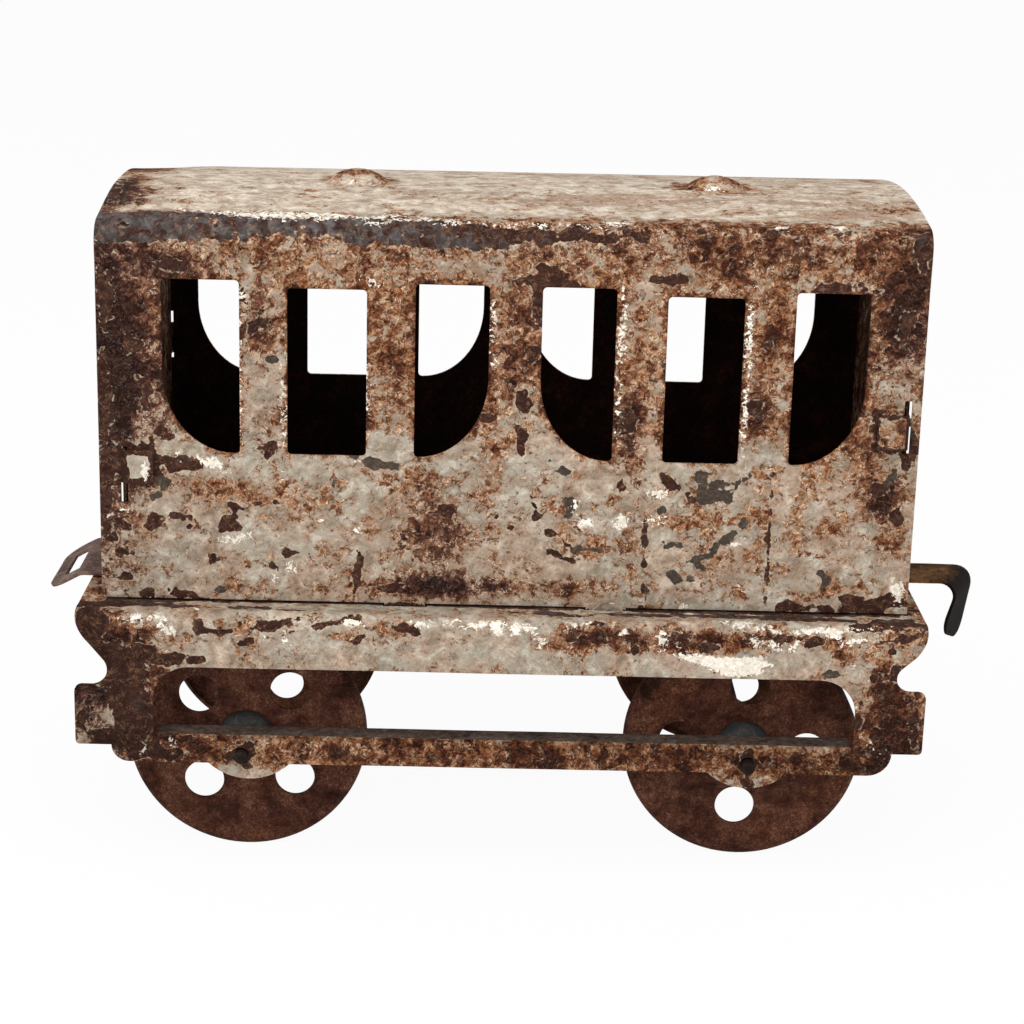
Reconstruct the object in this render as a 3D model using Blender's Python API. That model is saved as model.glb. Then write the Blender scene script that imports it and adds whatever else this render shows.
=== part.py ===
"""Toy railway coach pressed from tinplate: one bent body sheet with windows, two end walls held
by folded tabs, a pressed chassis with side frames, a drawbar with an eye and a hook, and two
wheelsets of stamped discs on wire axles.

Frame: X along the coach (the hook end is +X), Y across it (the front side is -Y), Z up.
The origin lies below the middle of the whole length, where the wheels touch the ground."""

import math

import bmesh
import bpy
from mathutils import Vector

mm = 0.001

# Sheet and clearances
sheet = 0.5 * mm              # tinplate thickness
gap = 0.3 * mm                # play between neighbouring pieces
reach = 10 * mm               # how far a cutting shape runs past the sheet it cuts

# Chassis, one pressed channel with its open side down
chassisX = -2.77 * mm         # middle of the chassis, seen from the origin
chassisLength = 126.6 * mm    # at least the length over the buffer blocks
chassisHalfWidth = 32.9 * mm
platformTop = 40.2 * mm
platformBend = 2.05 * mm      # bend radius at the middle of the sheet
barBottom = 17.0 * mm
barTop = 21.2 * mm
ledgeDepth = 4.5 * mm         # flap of the side opening, folded inwards along the bar
ledgeBend = 0.55 * mm
openingTop = 32.0 * mm
openingCorner = 5.5 * mm
shoulderRadius = 6.5 * mm     # round corner under the platform end
bufferCorner = 1.1 * mm
bufferLowCorner = 0.6 * mm
bossDrop = 2.4 * mm           # how far a bearing boss hangs below the bar
bossRadius = 8.7 * mm

# The side frame's two ends, which differ a little: lengths from the middle of the chassis, heights from the ground
rightEnd = {
    "shoulder": 63.1 * mm, "buffer": 63.3 * mm, "neckX": 60.9 * mm, "neckZ": 32.5 * mm,
    "bufferTop": 30.4 * mm, "bufferBottom": 20.5 * mm, "stepX": 55.3 * mm, "bossX": 37.4 * mm, "opening": 53.0 * mm,
}
leftEnd = {
    "shoulder": 62.5 * mm, "buffer": 62.7 * mm, "neckX": 60.2 * mm, "neckZ": 31.4 * mm,
    "bufferTop": 29.0 * mm, "bufferBottom": 19.6 * mm, "stepX": 54.8 * mm, "bossX": 37.0 * mm, "opening": 51.2 * mm,
}

# Wheelsets
wheelRadius = 18.2 * mm
axleX = (-38.1 * mm, 37.4 * mm)   # seen from the middle of the chassis
wheelY = 24.5 * mm            # middle of a wheel disc
wheelSegments = 48
rimBend = 1.4 * mm
rimWidth = 2.2 * mm
wheelHoleRadius = 3.0 * mm
wheelHoleCircle = 9.8 * mm
wheelHoles = 4
holeTurns = {"left": (48, 10), "right": (-4.5, 30)}    # degrees, how the front and back discs happen to stand
hubRadius = 4.2 * mm
hubHeight = 2.6 * mm
hubBend = 1.4 * mm
axleRadius = 1.0 * mm
axleEnd = 1.2 * mm            # how far the wire stands out of the side frame
axleChamfer = 0.3 * mm
boreRadius = axleRadius + gap

# Body, one sheet bent into two side walls and a crowned roof
bodyX = chassisX + 0.7 * mm
bodyLength = 120 * mm
bodyHalfWidth = 26.5 * mm
bodyBottom = platformTop + gap
roofTop = 99.9 * mm
crownRadius = 150 * mm
cornerRadius = 3.2 * mm
windowCount = 6
windowPitch = 18.3 * mm
windowShift = 0.55 * mm       # the row of windows sits this far off the middle
windowWidth = 10.7 * mm
windowBottom = 63.0 * mm
windowTop = 88.7 * mm
doorWindowWidth = 11.1 * mm
doorWindowTop = 87.7 * mm
windowCorner = 0.6 * mm
sweepWidth = 10.1 * mm        # quarter ellipse in the lower corner of the outer windows
sweepHeight = 12.0 * mm
ventX = (-23.9 * mm, 30.7 * mm)   # pressed roof domes, seen from the middle of the body
ventRadius = 4.6 * mm
ventHeight = 1.8 * mm
bodyTabX = (-15 * mm, 15 * mm)
bodyTabWidth = 6 * mm
bodyTabLength = 4 * mm
leafZ = platformTop - sheet - gap - sheet / 2   # tabs folded flat under the platform

# End walls, the same stamping turned round for the other end
leftWallX = bodyX - 56.4 * mm
rightWallX = bodyX + 58.05 * mm
lowSlot = (55.2 * mm, 63.6 * mm)
highSlot = (65.2 * mm, 73.1 * mm)
lowTab = (58.3 * mm, 63.3 * mm)
highTab = (65.9 * mm, 71.0 * mm)
sideTabLength = 4.4 * mm
slotHalf = sheet / 2 + gap
footTabY = 12 * mm
footTabWidth = 6 * mm
footTabLength = 3.5 * mm

# Drawbar, a strip lying on the platform
drawbarY = -6.8 * mm
drawbarZ = platformTop + gap + sheet / 2
hookWidth = 8.9 * mm
hookCornerX = chassisX + 73.4 * mm
hookBend = 2.6 * mm
hookTip = (chassisX + 71.3 * mm, 30.5 * mm)
hookSlant = 0.45              # the bend does not run square across the strip
hookSlantX = chassisX + 66 * mm
hookTipRadius = 3.0 * mm
eyeY = -7.4 * mm              # middle of the eye, a little off the strip's
eyeWidth = 18.2 * mm
eyeWidening = (chassisX - 57.0 * mm, chassisX - 58.6 * mm)
eyeBendX = chassisX - 64.2 * mm
eyeBend = 1.5 * mm
eyeTip = (chassisX - 69.4 * mm, 37.9 * mm)
eyeCorner = 3.4 * mm
eyeSlot = (chassisX - 67.0 * mm, chassisX - 64.8 * mm)
eyeSlotY = -8.0 * mm
eyeSlotWidth = 10.6 * mm


def clear_scene():
    for obj in list(bpy.data.objects):
        bpy.data.objects.remove(obj, do_unlink=True)


def make_material(name, colour, roughness, metallic):
    material = bpy.data.materials.new(name)
    material.use_nodes = True
    shader = material.node_tree.nodes["Principled BSDF"]
    shader.inputs["Base Color"].default_value = (*colour, 1.0)
    shader.inputs["Roughness"].default_value = roughness
    shader.inputs["Metallic"].default_value = metallic
    return material


def make_object(name, bm, material=None):
    bmesh.ops.recalc_face_normals(bm, faces=bm.faces)
    mesh = bpy.data.meshes.new(name)
    bm.to_mesh(mesh)
    bm.free()
    obj = bpy.data.objects.new(name, mesh)
    bpy.context.collection.objects.link(obj)
    if material:
        mesh.materials.append(material)
    else:
        obj.hide_render = True
        obj.display_type = "WIRE"
    return obj


def arc(centre, radius, start, end, steps):
    """Points of an arc from one angle to another, in degrees."""
    points = []
    for i in range(steps + 1):
        angle = math.radians(start + (end - start) * i / steps)
        points.append((centre[0] + radius * math.cos(angle), centre[1] + radius * math.sin(angle)))
    return points


def circle(centre, radius, segments):
    return arc(centre, radius, 0, 360, segments)[:-1]


def strip_outline(corners, thickness=sheet, steps=4):
    """Outline of a bent sheet seen end on.

    Each corner is (a, b, bend radius) on the middle of the sheet; the two ends need no radius."""
    path = []
    last = len(corners) - 1
    for i, corner in enumerate(corners):
        here = Vector(corner[:2])
        if i in (0, last):
            other = Vector(corners[1][:2]) if i == 0 else Vector(corners[last - 1][:2])
            along = (other - here).normalized() if i == 0 else (here - other).normalized()
            path.append((here, Vector((-along.y, along.x))))
            continue
        before = (here - Vector(corners[i - 1][:2])).normalized()
        after = (Vector(corners[i + 1][:2]) - here).normalized()
        turn = before.angle_signed(after)
        side = -math.copysign(1, turn)
        radius = corner[2]
        start = here - before * radius * math.tan(abs(turn) / 2)
        normal = Vector((-before.y, before.x))
        centre = start + normal * radius * side
        for k in range(steps + 1):
            angle = -turn * k / steps
            turned = Vector((normal.x * math.cos(angle) - normal.y * math.sin(angle),
                             normal.x * math.sin(angle) + normal.y * math.cos(angle)))
            path.append((centre - turned * radius * side, turned))
    left = [tuple(p + n * thickness / 2) for p, n in path]
    right = [tuple(p - n * thickness / 2) for p, n in path]
    return left + right[::-1]


def prism(name, outlines, axis, low, high, material=None):
    """Solid between two planes across an axis, for one outline or several separate ones."""
    order = {"X": (2, 0, 1), "Y": (0, 2, 1), "Z": (0, 1, 2)}[axis]
    bm = bmesh.new()
    for outline in outlines:
        corners = [(a, b, low) for a, b in outline]
        face = bm.faces.new([bm.verts.new([corner[i] for i in order]) for corner in corners])
        made = bmesh.ops.extrude_face_region(bm, geom=[face])
        moved = [item for item in made["geom"] if isinstance(item, bmesh.types.BMVert)]
        bmesh.ops.translate(bm, verts=moved, vec=[(0, 0, high - low)[i] for i in order])
    return make_object(name, bm, material)


def turned(name, profile, segments, axis="Y", material=None):
    """Solid turned from (radius, height) points, a ring unless it ends in points of no radius."""
    bm = bmesh.new()
    rings = []
    for r, height in profile:
        ring = []
        for k in range(segments if r else 1):
            angle = 2 * math.pi * (k + 0.5) / segments
            a, b = r * math.sin(angle), -r * math.cos(angle)
            ring.append(bm.verts.new((a, height, b) if axis == "Y" else (a, b, height)))
        rings.append(ring if r else ring * segments)
    for first, second in zip(rings, rings[1:] + rings[:1]):
        for k in range(segments):
            j = (k + 1) % segments
            corners = list(dict.fromkeys((first[k], first[j], second[j], second[k])))
            if len(corners) > 2:
                bm.faces.new(corners)
    return make_object(name, bm, material)


def combine(target, tool, operation):
    modifier = target.modifiers.new(operation.lower(), "BOOLEAN")
    modifier.operation = operation
    modifier.solver = "EXACT"
    modifier.object = tool
    tool.parent = target


def smooth(obj, degrees=35):
    obj.data.shade_smooth()
    obj.data.set_sharp_from_angle(angle=math.radians(degrees))


def mirrored(points):
    return [(-a, b) for a, b in points[::-1]]


def shifted(points, da, db=0.0):
    return [(a + da, b + db) for a, b in points]


def rectangle(low, high):
    return [(low[0], low[1]), (high[0], low[1]), (high[0], high[1]), (low[0], high[1])]


def side_frame_half(end):
    """One end of a side frame, from the platform down to the bar with its bearing boss."""
    shoulder, buffer, top, bottom = end["shoulder"], end["buffer"], end["bufferTop"], end["bufferBottom"]
    right = [(shoulder, platformTop + reach / 4)]
    right += arc((shoulder - shoulderRadius, platformTop), shoulderRadius, 0, -45, 6)
    right += arc((end["neckX"], end["neckZ"]), end["neckZ"] - top, 135, 270, 9)
    right += arc((buffer - bufferCorner, top - bufferCorner), bufferCorner, 90, 0, 3)
    right += arc((buffer - bufferLowCorner, bottom + bufferLowCorner), bufferLowCorner, 0, -90, 2)
    right += arc((end["stepX"], bottom), bottom - barBottom, 0, -90, 5)
    drop = barBottom - bossDrop + bossRadius
    spread = math.degrees(math.acos((drop - barBottom) / bossRadius))
    return right + arc((end["bossX"], drop), bossRadius, spread - 90, -spread - 90, 8)


def opening_half(end):
    foot = (end["opening"], barTop - ledgeBend - sheet / 2)
    return [foot] + arc((end["opening"] - openingCorner, openingTop - openingCorner), openingCorner, 0, 90, 6)


def body_outline(inset):
    """Side walls and crowned roof seen end on, drawn in by inset."""
    side = bodyHalfWidth - cornerRadius
    crownCentre = roofTop - crownRadius
    cornerCentre = crownCentre + math.sqrt((crownRadius - cornerRadius) ** 2 - side ** 2)
    lean = math.degrees(math.asin(side / (crownRadius - cornerRadius)))
    right = [(bodyHalfWidth - inset, bodyBottom)]
    right += arc((side, cornerCentre), cornerRadius - inset, 0, 90 - lean, 6)
    right += arc((0, crownCentre), crownRadius - inset, 90 - lean, 90, 8)[1:]
    return right + mirrored(right[:-1])


def window_outline(i):
    """One opening, the outer windows of each group with a large swept lower corner."""
    middle = windowShift + (i - (windowCount - 1) / 2) * windowPitch
    isDoor = i % 3 == 1
    half = (doorWindowWidth if isDoor else windowWidth) / 2
    top = doorWindowTop if isDoor else windowTop
    r = windowCorner
    corners = arc((half - r, top - r), r, 0, 90, 2) + arc((-half + r, top - r), r, 90, 180, 2)
    plain = arc((-half + r, windowBottom + r), r, 180, 270, 2)
    if not isDoor:
        plain = [(-half + sweepWidth * (1 - math.cos(t)), windowBottom + sweepHeight * (1 - math.sin(t)))
                 for t in (math.radians(90 * k / 9) for k in range(10))]
    corners += plain + arc((half - r, windowBottom + r), r, 270, 360, 2)
    if i % 3 == 2:
        corners = mirrored(corners)
    return shifted(corners, middle)


def slot_outline(wallX, heights):
    return rectangle((wallX - slotHalf, heights[0]), (wallX + slotHalf, heights[1]))


def make_chassis(material):
    edge = chassisHalfWidth - sheet / 2
    top = platformTop - sheet / 2
    section = strip_outline([(-edge, 0), (-edge, top, platformBend), (edge, top, platformBend), (edge, 0)])
    chassis = prism("chassis", [section], "X", -chassisLength / 2 - reach, chassisLength / 2 + reach, material)
    far = chassisHalfWidth + reach
    frame = side_frame_half(rightEnd) + mirrored(side_frame_half(leftEnd))
    combine(chassis, prism("side_shape", [frame], "Y", -far, far), "INTERSECT")
    opening = opening_half(rightEnd) + mirrored(opening_half(leftEnd))
    holes = [circle((x, wheelRadius), boreRadius, 20) for x in axleX]
    combine(chassis, prism("side_cuts", [opening] + holes, "Y", -far, far), "DIFFERENCE")

    flapY = edge - ledgeDepth + sheet / 2
    flap = [(-edge, barTop - 2 * sheet), (-edge, barTop - sheet / 2, ledgeBend), (-flapY, barTop - sheet / 2)]
    flapEnds = gap - leftEnd["opening"], rightEnd["opening"] - gap
    for name, corners in (("front_ledge", flap), ("back_ledge", [(-a, *rest) for a, *rest in flap])):
        combine(chassis, prism(name, [strip_outline(corners)], "X", *flapEnds), "UNION")

    slots = []
    half = bodyTabWidth / 2 + gap
    for x in bodyTabX:
        for y in (-bodyHalfWidth + sheet / 2, bodyHalfWidth - sheet / 2):
            slots.append(shifted(rectangle((-half, -slotHalf), (half, slotHalf)), bodyX - chassisX + x, y))
    half = footTabWidth / 2 + gap
    for x in (leftWallX, rightWallX):
        slots.append(shifted(rectangle((-slotHalf, -half), (slotHalf, half)), x - chassisX, footTabY))
    cutter = prism("platform_slots", slots, "Z", platformTop - reach / 2, platformTop + reach)
    combine(chassis, cutter, "DIFFERENCE")
    chassis.location.x = chassisX
    smooth(chassis)


def make_body(material):
    ring = body_outline(0) + body_outline(sheet)[::-1]
    half = bodyLength / 2
    body = prism("body_shell", [ring], "X", -half, half, material)
    windows = [window_outline(i) for i in range(windowCount)]
    outside = bodyHalfWidth + reach
    left, right = leftWallX - bodyX, rightWallX - bodyX
    frontCuts = windows + [slot_outline(left, lowSlot), slot_outline(right, highSlot)]
    combine(body, prism("front_cuts", frontCuts, "Y", -outside, -reach), "DIFFERENCE")
    backCuts = [mirrored(outline) for outline in windows]
    backCuts += [slot_outline(left, highSlot), slot_outline(right, lowSlot)]
    combine(body, prism("back_cuts", backCuts, "Y", reach, outside), "DIFFERENCE")

    for side, place in ((-1, "front"), (1, "back")):
        wall = side * (bodyHalfWidth - sheet / 2)
        fold = [(wall, bodyBottom + sheet), (wall, leafZ, sheet), (wall - side * bodyTabLength, leafZ)]
        outline = strip_outline(fold, steps=3)
        for x in bodyTabX:
            tab = prism(f"{place}_tab", [outline], "X", x - bodyTabWidth / 2, x + bodyTabWidth / 2)
            combine(body, tab, "UNION")

    domeRadius = (ventRadius ** 2 + ventHeight ** 2) / (2 * ventHeight)
    domeSpread = math.degrees(math.asin(ventRadius / domeRadius))
    for x in ventX:
        for inset, operation in ((0, "UNION"), (sheet, "DIFFERENCE")):
            cap = arc((0, ventHeight - domeRadius), domeRadius - inset, 90 - domeSpread, 90, 5)[:-1]
            foot = -sheet - inset / 2
            profile = [(0, foot), (cap[0][0], foot)] + cap + [(0, ventHeight - inset)]
            dome = turned("roof_dome", profile, 24, "Z")
            dome.location = (x, 0, roofTop)
            combine(body, dome, operation)
    body.location.x = bodyX
    smooth(body)


def make_end_wall(name, wallX, tabHeights, material):
    """Flat wall with a tab on each side and one at its foot, folded towards the coach's middle."""
    inward = 1 if wallX < bodyX else -1
    plate = body_outline(sheet + gap)
    low, high = drawbarY - hookWidth / 2 - gap, drawbarY + hookWidth / 2 + gap
    notchTop = bodyBottom + sheet + gap
    notch = [(low, bodyBottom), (low, notchTop), (high, notchTop), (high, bodyBottom)]
    wall = prism(name, [plate + notch], "X", wallX - sheet / 2, wallX + sheet / 2, material)
    for side, heights in zip((-1, 1), tabHeights):
        leaf = side * (bodyHalfWidth + gap + sheet / 2)
        start = side * (bodyHalfWidth - 3 * sheet)
        fold = [(wallX, start), (wallX, leaf, sheet), (wallX + inward * sideTabLength, leaf)]
        combine(wall, prism(f"{name}_tab", [strip_outline(fold, steps=3)], "Z", *heights), "UNION")
    fold = [(wallX, bodyBottom + sheet), (wallX, leafZ, sheet), (wallX + inward * footTabLength, leafZ)]
    foot = prism(f"{name}_foot", [strip_outline(fold, steps=3)], "Y",
                 footTabY - footTabWidth / 2, footTabY + footTabWidth / 2)
    combine(wall, foot, "UNION")
    smooth(wall)


def make_drawbar(material):
    bends = [(eyeBendX, drawbarZ, eyeBend), (hookCornerX, drawbarZ, hookBend)]
    section = strip_outline([eyeTip] + bends + [hookTip], steps=6)
    drawbar = prism("drawbar", [section], "Y", drawbarY - eyeWidth, drawbarY + eyeWidth, material)
    for vertex in drawbar.data.vertices:
        if vertex.co.x > hookSlantX:
            vertex.co.x += hookSlant * (vertex.co.y - drawbarY)
    narrow = hookWidth / 2
    front, back = eyeY - eyeWidth / 2, eyeY + eyeWidth / 2
    eyeEnd = eyeTip[0] - sheet / 2
    hookEnd = hookCornerX + reach
    plan = [(hookEnd, drawbarY - narrow), (hookEnd, drawbarY + narrow)]
    plan += [(eyeWidening[0], drawbarY + narrow), (eyeWidening[1], back)]
    plan += arc((eyeEnd + eyeCorner, back - eyeCorner), eyeCorner, 90, 180, 4)
    plan += arc((eyeEnd + eyeCorner, front + eyeCorner), eyeCorner, 180, 270, 4)
    plan += [(eyeWidening[1], front), (eyeWidening[0], drawbarY - narrow)]
    above = platformTop + reach
    combine(drawbar, prism("drawbar_plan", [plan], "Z", 0, above), "INTERSECT")
    half = eyeSlotWidth / 2
    slot = rectangle((eyeSlot[0], eyeSlotY - half), (eyeSlot[1], eyeSlotY + half))
    combine(drawbar, prism("eye_slot", [slot], "Z", 0, above), "DIFFERENCE")

    tipZ = hookTip[1]
    r = hookTipRadius
    corner = arc((narrow - r, tipZ + r), r, 0, -90, 4)
    corner += [(narrow - r, tipZ - reach), (narrow + reach, tipZ - reach), (narrow + reach, tipZ + r)]
    corners = [shifted(corner, drawbarY), shifted(mirrored(corner), drawbarY)]
    combine(drawbar, prism("hook_tip", corners, "X", hookTip[0] - reach, hookTip[0] + reach), "DIFFERENCE")
    smooth(drawbar)


def wheel_profile():
    """Disc with a rim bent over; y runs from the outer face towards the coach's middle."""
    tread = wheelRadius / math.cos(math.pi / wheelSegments)
    outer = arc((tread - rimBend, rimBend), rimBend, -90, 0, 3)
    inner = arc((tread - rimBend, rimBend), rimBend - sheet, 0, -90, 2)
    edge = [(tread, rimWidth), (tread - sheet, rimWidth)]
    return [(boreRadius, 0)] + outer + edge + inner + [(boreRadius, sheet)]


def hub_profile():
    """Cup pressed over the wheel's centre, open towards the disc."""
    outer = arc((hubRadius - hubBend, hubHeight - hubBend), hubBend, 0, 90, 3)
    inner = arc((hubRadius - hubBend, hubHeight - hubBend), hubBend - sheet, 90, 0, 2)
    bore = [(boreRadius, hubHeight), (boreRadius, hubHeight - sheet)]
    return [(hubRadius, 0)] + outer + bore + inner + [(hubRadius - sheet, 0)]


def disc_holes(turn):
    """Outlines of a disc's round holes, seen from the front."""
    angles = [math.radians(turn + 360 * k / wheelHoles) for k in range(wheelHoles)]
    middles = [(wheelHoleCircle * math.sin(angle), -wheelHoleCircle * math.cos(angle)) for angle in angles]
    return [circle(middle, wheelHoleRadius, 16) for middle in middles]


def make_wheelset(end, x, turns, materials):
    """Axle with a wheel and a hub cup at each side, all placed on an empty at the axle's middle."""
    centre = bpy.data.objects.new(f"wheelset_{end}", None)
    bpy.context.collection.objects.link(centre)
    centre.location = (x, 0, wheelRadius)

    half = chassisHalfWidth + axleEnd
    ends = [(0, half), (axleRadius - axleChamfer, half), (axleRadius, half - axleChamfer)]
    profile = ends + [(r, -y) for r, y in ends[::-1]]
    pieces = [turned(f"axle_{end}", profile, 20, material=materials["axle"])]

    for side, place, turn in ((-1, "front", turns[0]), (1, "back", turns[1])):
        face = side * (wheelY + sheet / 2)
        disc = [(r, face - side * y) for r, y in wheel_profile()]
        wheel = turned(f"wheel_{end}_{place}", disc, wheelSegments, material=materials["wheel"])
        cutter = prism("wheel_holes", disc_holes(turn), "Y", face - 2 * sheet, face + 2 * sheet)
        combine(wheel, cutter, "DIFFERENCE")
        cup = [(r, face + side * (gap + y)) for r, y in hub_profile()]
        hub = turned(f"hub_{end}_{place}", cup, 20, material=materials["hub"])
        pieces += [wheel, hub]
    for piece in pieces:
        piece.parent = centre
        smooth(piece)


clear_scene()
shellPaint = make_material("worn_body_paint", (0.38, 0.31, 0.25), 0.75, 0.0)
wallPaint = make_material("worn_wall_paint", (0.20, 0.14, 0.11), 0.8, 0.0)
chassisPaint = make_material("worn_chassis_paint", (0.30, 0.22, 0.17), 0.75, 0.0)
bareStrip = make_material("bare_strip", (0.16, 0.11, 0.08), 0.6, 0.4)
wheelsetMaterials = {"wheel": make_material("rusted_disc", (0.11, 0.055, 0.035), 0.85, 0.2),
                     "hub": make_material("grey_hub", (0.09, 0.11, 0.12), 0.5, 0.5),
                     "axle": make_material("wire_steel", (0.12, 0.10, 0.09), 0.5, 0.7)}
make_chassis(chassisPaint)
make_body(shellPaint)
make_end_wall("end_wall_left", leftWallX, (lowTab, highTab), wallPaint)
make_end_wall("end_wall_right", rightWallX, (highTab, lowTab), wallPaint)
make_drawbar(bareStrip)
for end, x in zip(("left", "right"), axleX):
    make_wheelset(end, chassisX + x, holeTurns[end], wheelsetMaterials)
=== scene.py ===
# Toy railway coach in worn painted tin: the looks round its CAD frame.
# Every size here is in millimetres and turned to metres when a mesh is made.
import math

import bmesh
import bpy
import numpy as np
from mathutils import Matrix, Vector, noise
from mathutils.geometry import delaunay_2d_cdt


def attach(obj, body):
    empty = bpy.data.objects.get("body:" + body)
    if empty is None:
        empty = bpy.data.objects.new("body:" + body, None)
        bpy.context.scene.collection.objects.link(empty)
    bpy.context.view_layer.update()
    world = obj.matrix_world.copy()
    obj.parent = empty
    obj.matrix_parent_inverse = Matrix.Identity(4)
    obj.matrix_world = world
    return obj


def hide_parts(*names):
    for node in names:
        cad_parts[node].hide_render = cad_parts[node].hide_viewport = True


mm = 0.001
quarterTurn = math.pi / 2
nowhere = -9.0    # a mark's level where there is none of it
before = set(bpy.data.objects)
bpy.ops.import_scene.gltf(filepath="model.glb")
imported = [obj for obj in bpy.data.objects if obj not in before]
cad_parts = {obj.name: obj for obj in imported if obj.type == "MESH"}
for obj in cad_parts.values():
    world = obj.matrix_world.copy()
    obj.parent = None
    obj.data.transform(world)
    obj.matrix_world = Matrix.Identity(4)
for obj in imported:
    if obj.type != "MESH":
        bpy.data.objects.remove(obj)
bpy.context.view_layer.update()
print("frame loaded:", len(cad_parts), "nodes")


# small tools for shapes

def arc(centre, radius, start, end, steps):
    turns = [math.radians(start + (end - start) * i / steps) for i in range(steps + 1)]
    return [(centre[0] + radius * math.cos(a), centre[1] + radius * math.sin(a)) for a in turns]


def mirrored(points):
    return [(-a, b) for a, b in points[::-1]]


def foldedOver(points, middle):
    # the same outline on the far side of a sheet that is folded about its middle
    return [(x, 2 * middle - s) for x, s in points[::-1]]


def slotAt(middle, halfLong, halfHigh):
    left, right, low, high = middle[0] - halfLong, middle[0] + halfLong, middle[1] - halfHigh, middle[1] + halfHigh
    return [(left, low), (right, low), (right, high), (left, high)]


def sidesOf(outline):
    return zip(outline, outline[1:] + outline[:1])


def smoothStep(value, low, high):
    t = np.clip((value - low) / (high - low), 0, 1)
    return t * t * (3 - 2 * t)


def bell(value, middle, spread):
    return np.exp(-((value - middle) / spread) ** 2)


def resampled(outline, step):
    # the same closed outline with no edge longer than step
    points = []
    for (ax, ay), (bx, by) in sidesOf(outline):
        parts = max(1, math.ceil(math.hypot(bx - ax, by - ay) / step))
        points += [(ax + (bx - ax) * k / parts, ay + (by - ay) * k / parts) for k in range(parts)]
    return points


def insideOf(points, outline):
    inside = np.zeros(len(points), bool)
    x, y = points[:, 0], points[:, 1]
    for (ax, ay), (bx, by) in sidesOf(outline):
        if ay != by:
            inside ^= ((ay > y) != (by > y)) & (x < (bx - ax) * (y - ay) / (by - ay) + ax)
    return inside


def distanceFrom(points, outline):
    best = np.full(len(points), 1e9)
    for a, b in sidesOf(outline):
        a, b = np.array(a), np.array(b)
        along = b - a
        t = np.clip(((points - a) @ along) / max(along @ along, 1e-12), 0, 1)
        best = np.minimum(best, np.hypot(*(points - a - t[:, None] * along).T))
    return best


def rowsOf(columns, rows):
    # grid points, every second row set half a step over so that the triangles stay even
    points = []
    for k, s in enumerate(rows):
        shift = 0.5 * (columns[1] - columns[0]) if k % 2 else 0
        points += [(x + shift, s) for x in columns]
    return points


def cutSheet(outline, holes, grid, extra):
    # the flat blank of a pressed part: its corners and triangles in sheet coordinates
    step, cell = 0.6, 0.35    # longest edge along a cut, and least room round an extra point
    clearance = 0.45 * step
    fixed, edges = [], []
    for loop in [resampled(loop, step) for loop in [outline] + holes]:
        first = len(fixed)
        fixed += loop
        edges += [(first + k, first + (k + 1) % len(loop)) for k in range(len(loop))]
    kept = []
    for points in (np.array(extra, float).reshape(-1, 2), np.array(grid, float)):
        good = insideOf(points, outline)
        good &= distanceFrom(points, outline) > clearance
        for hole in holes:
            near = np.abs(points - np.mean(hole, axis=0)).max(axis=1) < np.ptp(hole, axis=0).max() + step
            chosen = np.flatnonzero(good & near)
            if len(chosen):
                good[chosen] = ~insideOf(points[chosen], hole) & (distanceFrom(points[chosen], hole) > clearance)
        points = points[good]
        if kept and len(kept[0]):
            taken = {(round(x / cell) + i, round(y / cell) + j)
                     for x, y in kept[0] for i in (-1, 0, 1) for j in (-1, 0, 1)}
            points = points[np.array([(round(x / cell), round(y / cell)) not in taken for x, y in points], bool)]
        kept.append(points)
    everything = fixed + [tuple(p) for part in kept for p in part]
    made = delaunay_2d_cdt([Vector(p) for p in everything], edges, [], 0, 1e-6)
    corners = np.array([tuple(v) for v in made[0]])
    triangles = np.array([f for f in made[2] if len(f) == 3])
    a, b, c = (corners[triangles[:, k]] for k in range(3))
    area = np.cross(b - a, c - a)
    triangles[area < 0] = triangles[area < 0][:, ::-1]
    middle = (a + b + c) / 3
    good = insideOf(middle, outline) & (np.abs(area) > 1e-7)
    for hole in holes:
        good &= ~insideOf(middle, hole)
    triangles = triangles[good]
    used = np.unique(triangles)
    place = np.zeros(len(corners), int)
    place[used] = np.arange(len(used))
    return corners[used], place[triangles]


def intoScene(name, data):
    thing = bpy.data.objects.new(name, data)
    bpy.context.scene.collection.objects.link(thing)
    return thing


def addFields(mesh, fields):
    for field, values in fields.items():
        mesh.attributes.new(field, "FLOAT", "POINT").data.foreach_set("value", np.asarray(values, np.float32))


def newPiece(name, corners, faces, fields=None):
    mesh = bpy.data.meshes.new(name)
    mesh.from_pydata([tuple(c) for c in np.asarray(corners) * mm], [], [tuple(int(i) for i in f) for f in faces])
    addFields(mesh, fields or {})
    return intoScene(name, mesh)


def cornersOf(piece):
    places = np.zeros(len(piece.data.vertices) * 3)
    piece.data.vertices.foreach_get("co", places)
    return places.reshape(-1, 3) / mm


def moveCorners(piece, places):
    piece.data.vertices.foreach_set("co", (places * mm).ravel())


def settle(piece):
    # every modifier is worked into a plain mesh
    bpy.context.view_layer.update()
    graph = bpy.context.evaluated_depsgraph_get()
    shown = piece.evaluated_get(graph)
    mesh = bpy.data.meshes.new_from_object(shown, preserve_all_data_layers=True, depsgraph=graph)
    mesh.name = piece.name
    piece.modifiers.clear()
    piece.data = mesh


def thicken(piece, thickness, offset=-1.0, lining=0):
    wall = piece.modifiers.new("sheet thickness", "SOLIDIFY")
    wall.thickness = thickness * mm
    wall.offset = offset
    wall.material_offset = lining


def softenEdges(piece, width, segments=2, angle=50):
    bevel = piece.modifiers.new("worn edge", "BEVEL")
    bevel.width = width * mm
    bevel.segments = segments
    bevel.limit_method = "ANGLE"
    bevel.angle_limit = math.radians(angle)


def shadeSmooth(piece, degrees=40):
    piece.data.shade_smooth()
    piece.data.set_sharp_from_angle(angle=math.radians(degrees))


def finishSheet(piece, thickness, offset, lining, edge):
    thicken(piece, thickness, offset, lining)
    softenEdges(piece, edge)
    settle(piece)
    shadeSmooth(piece)


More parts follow.
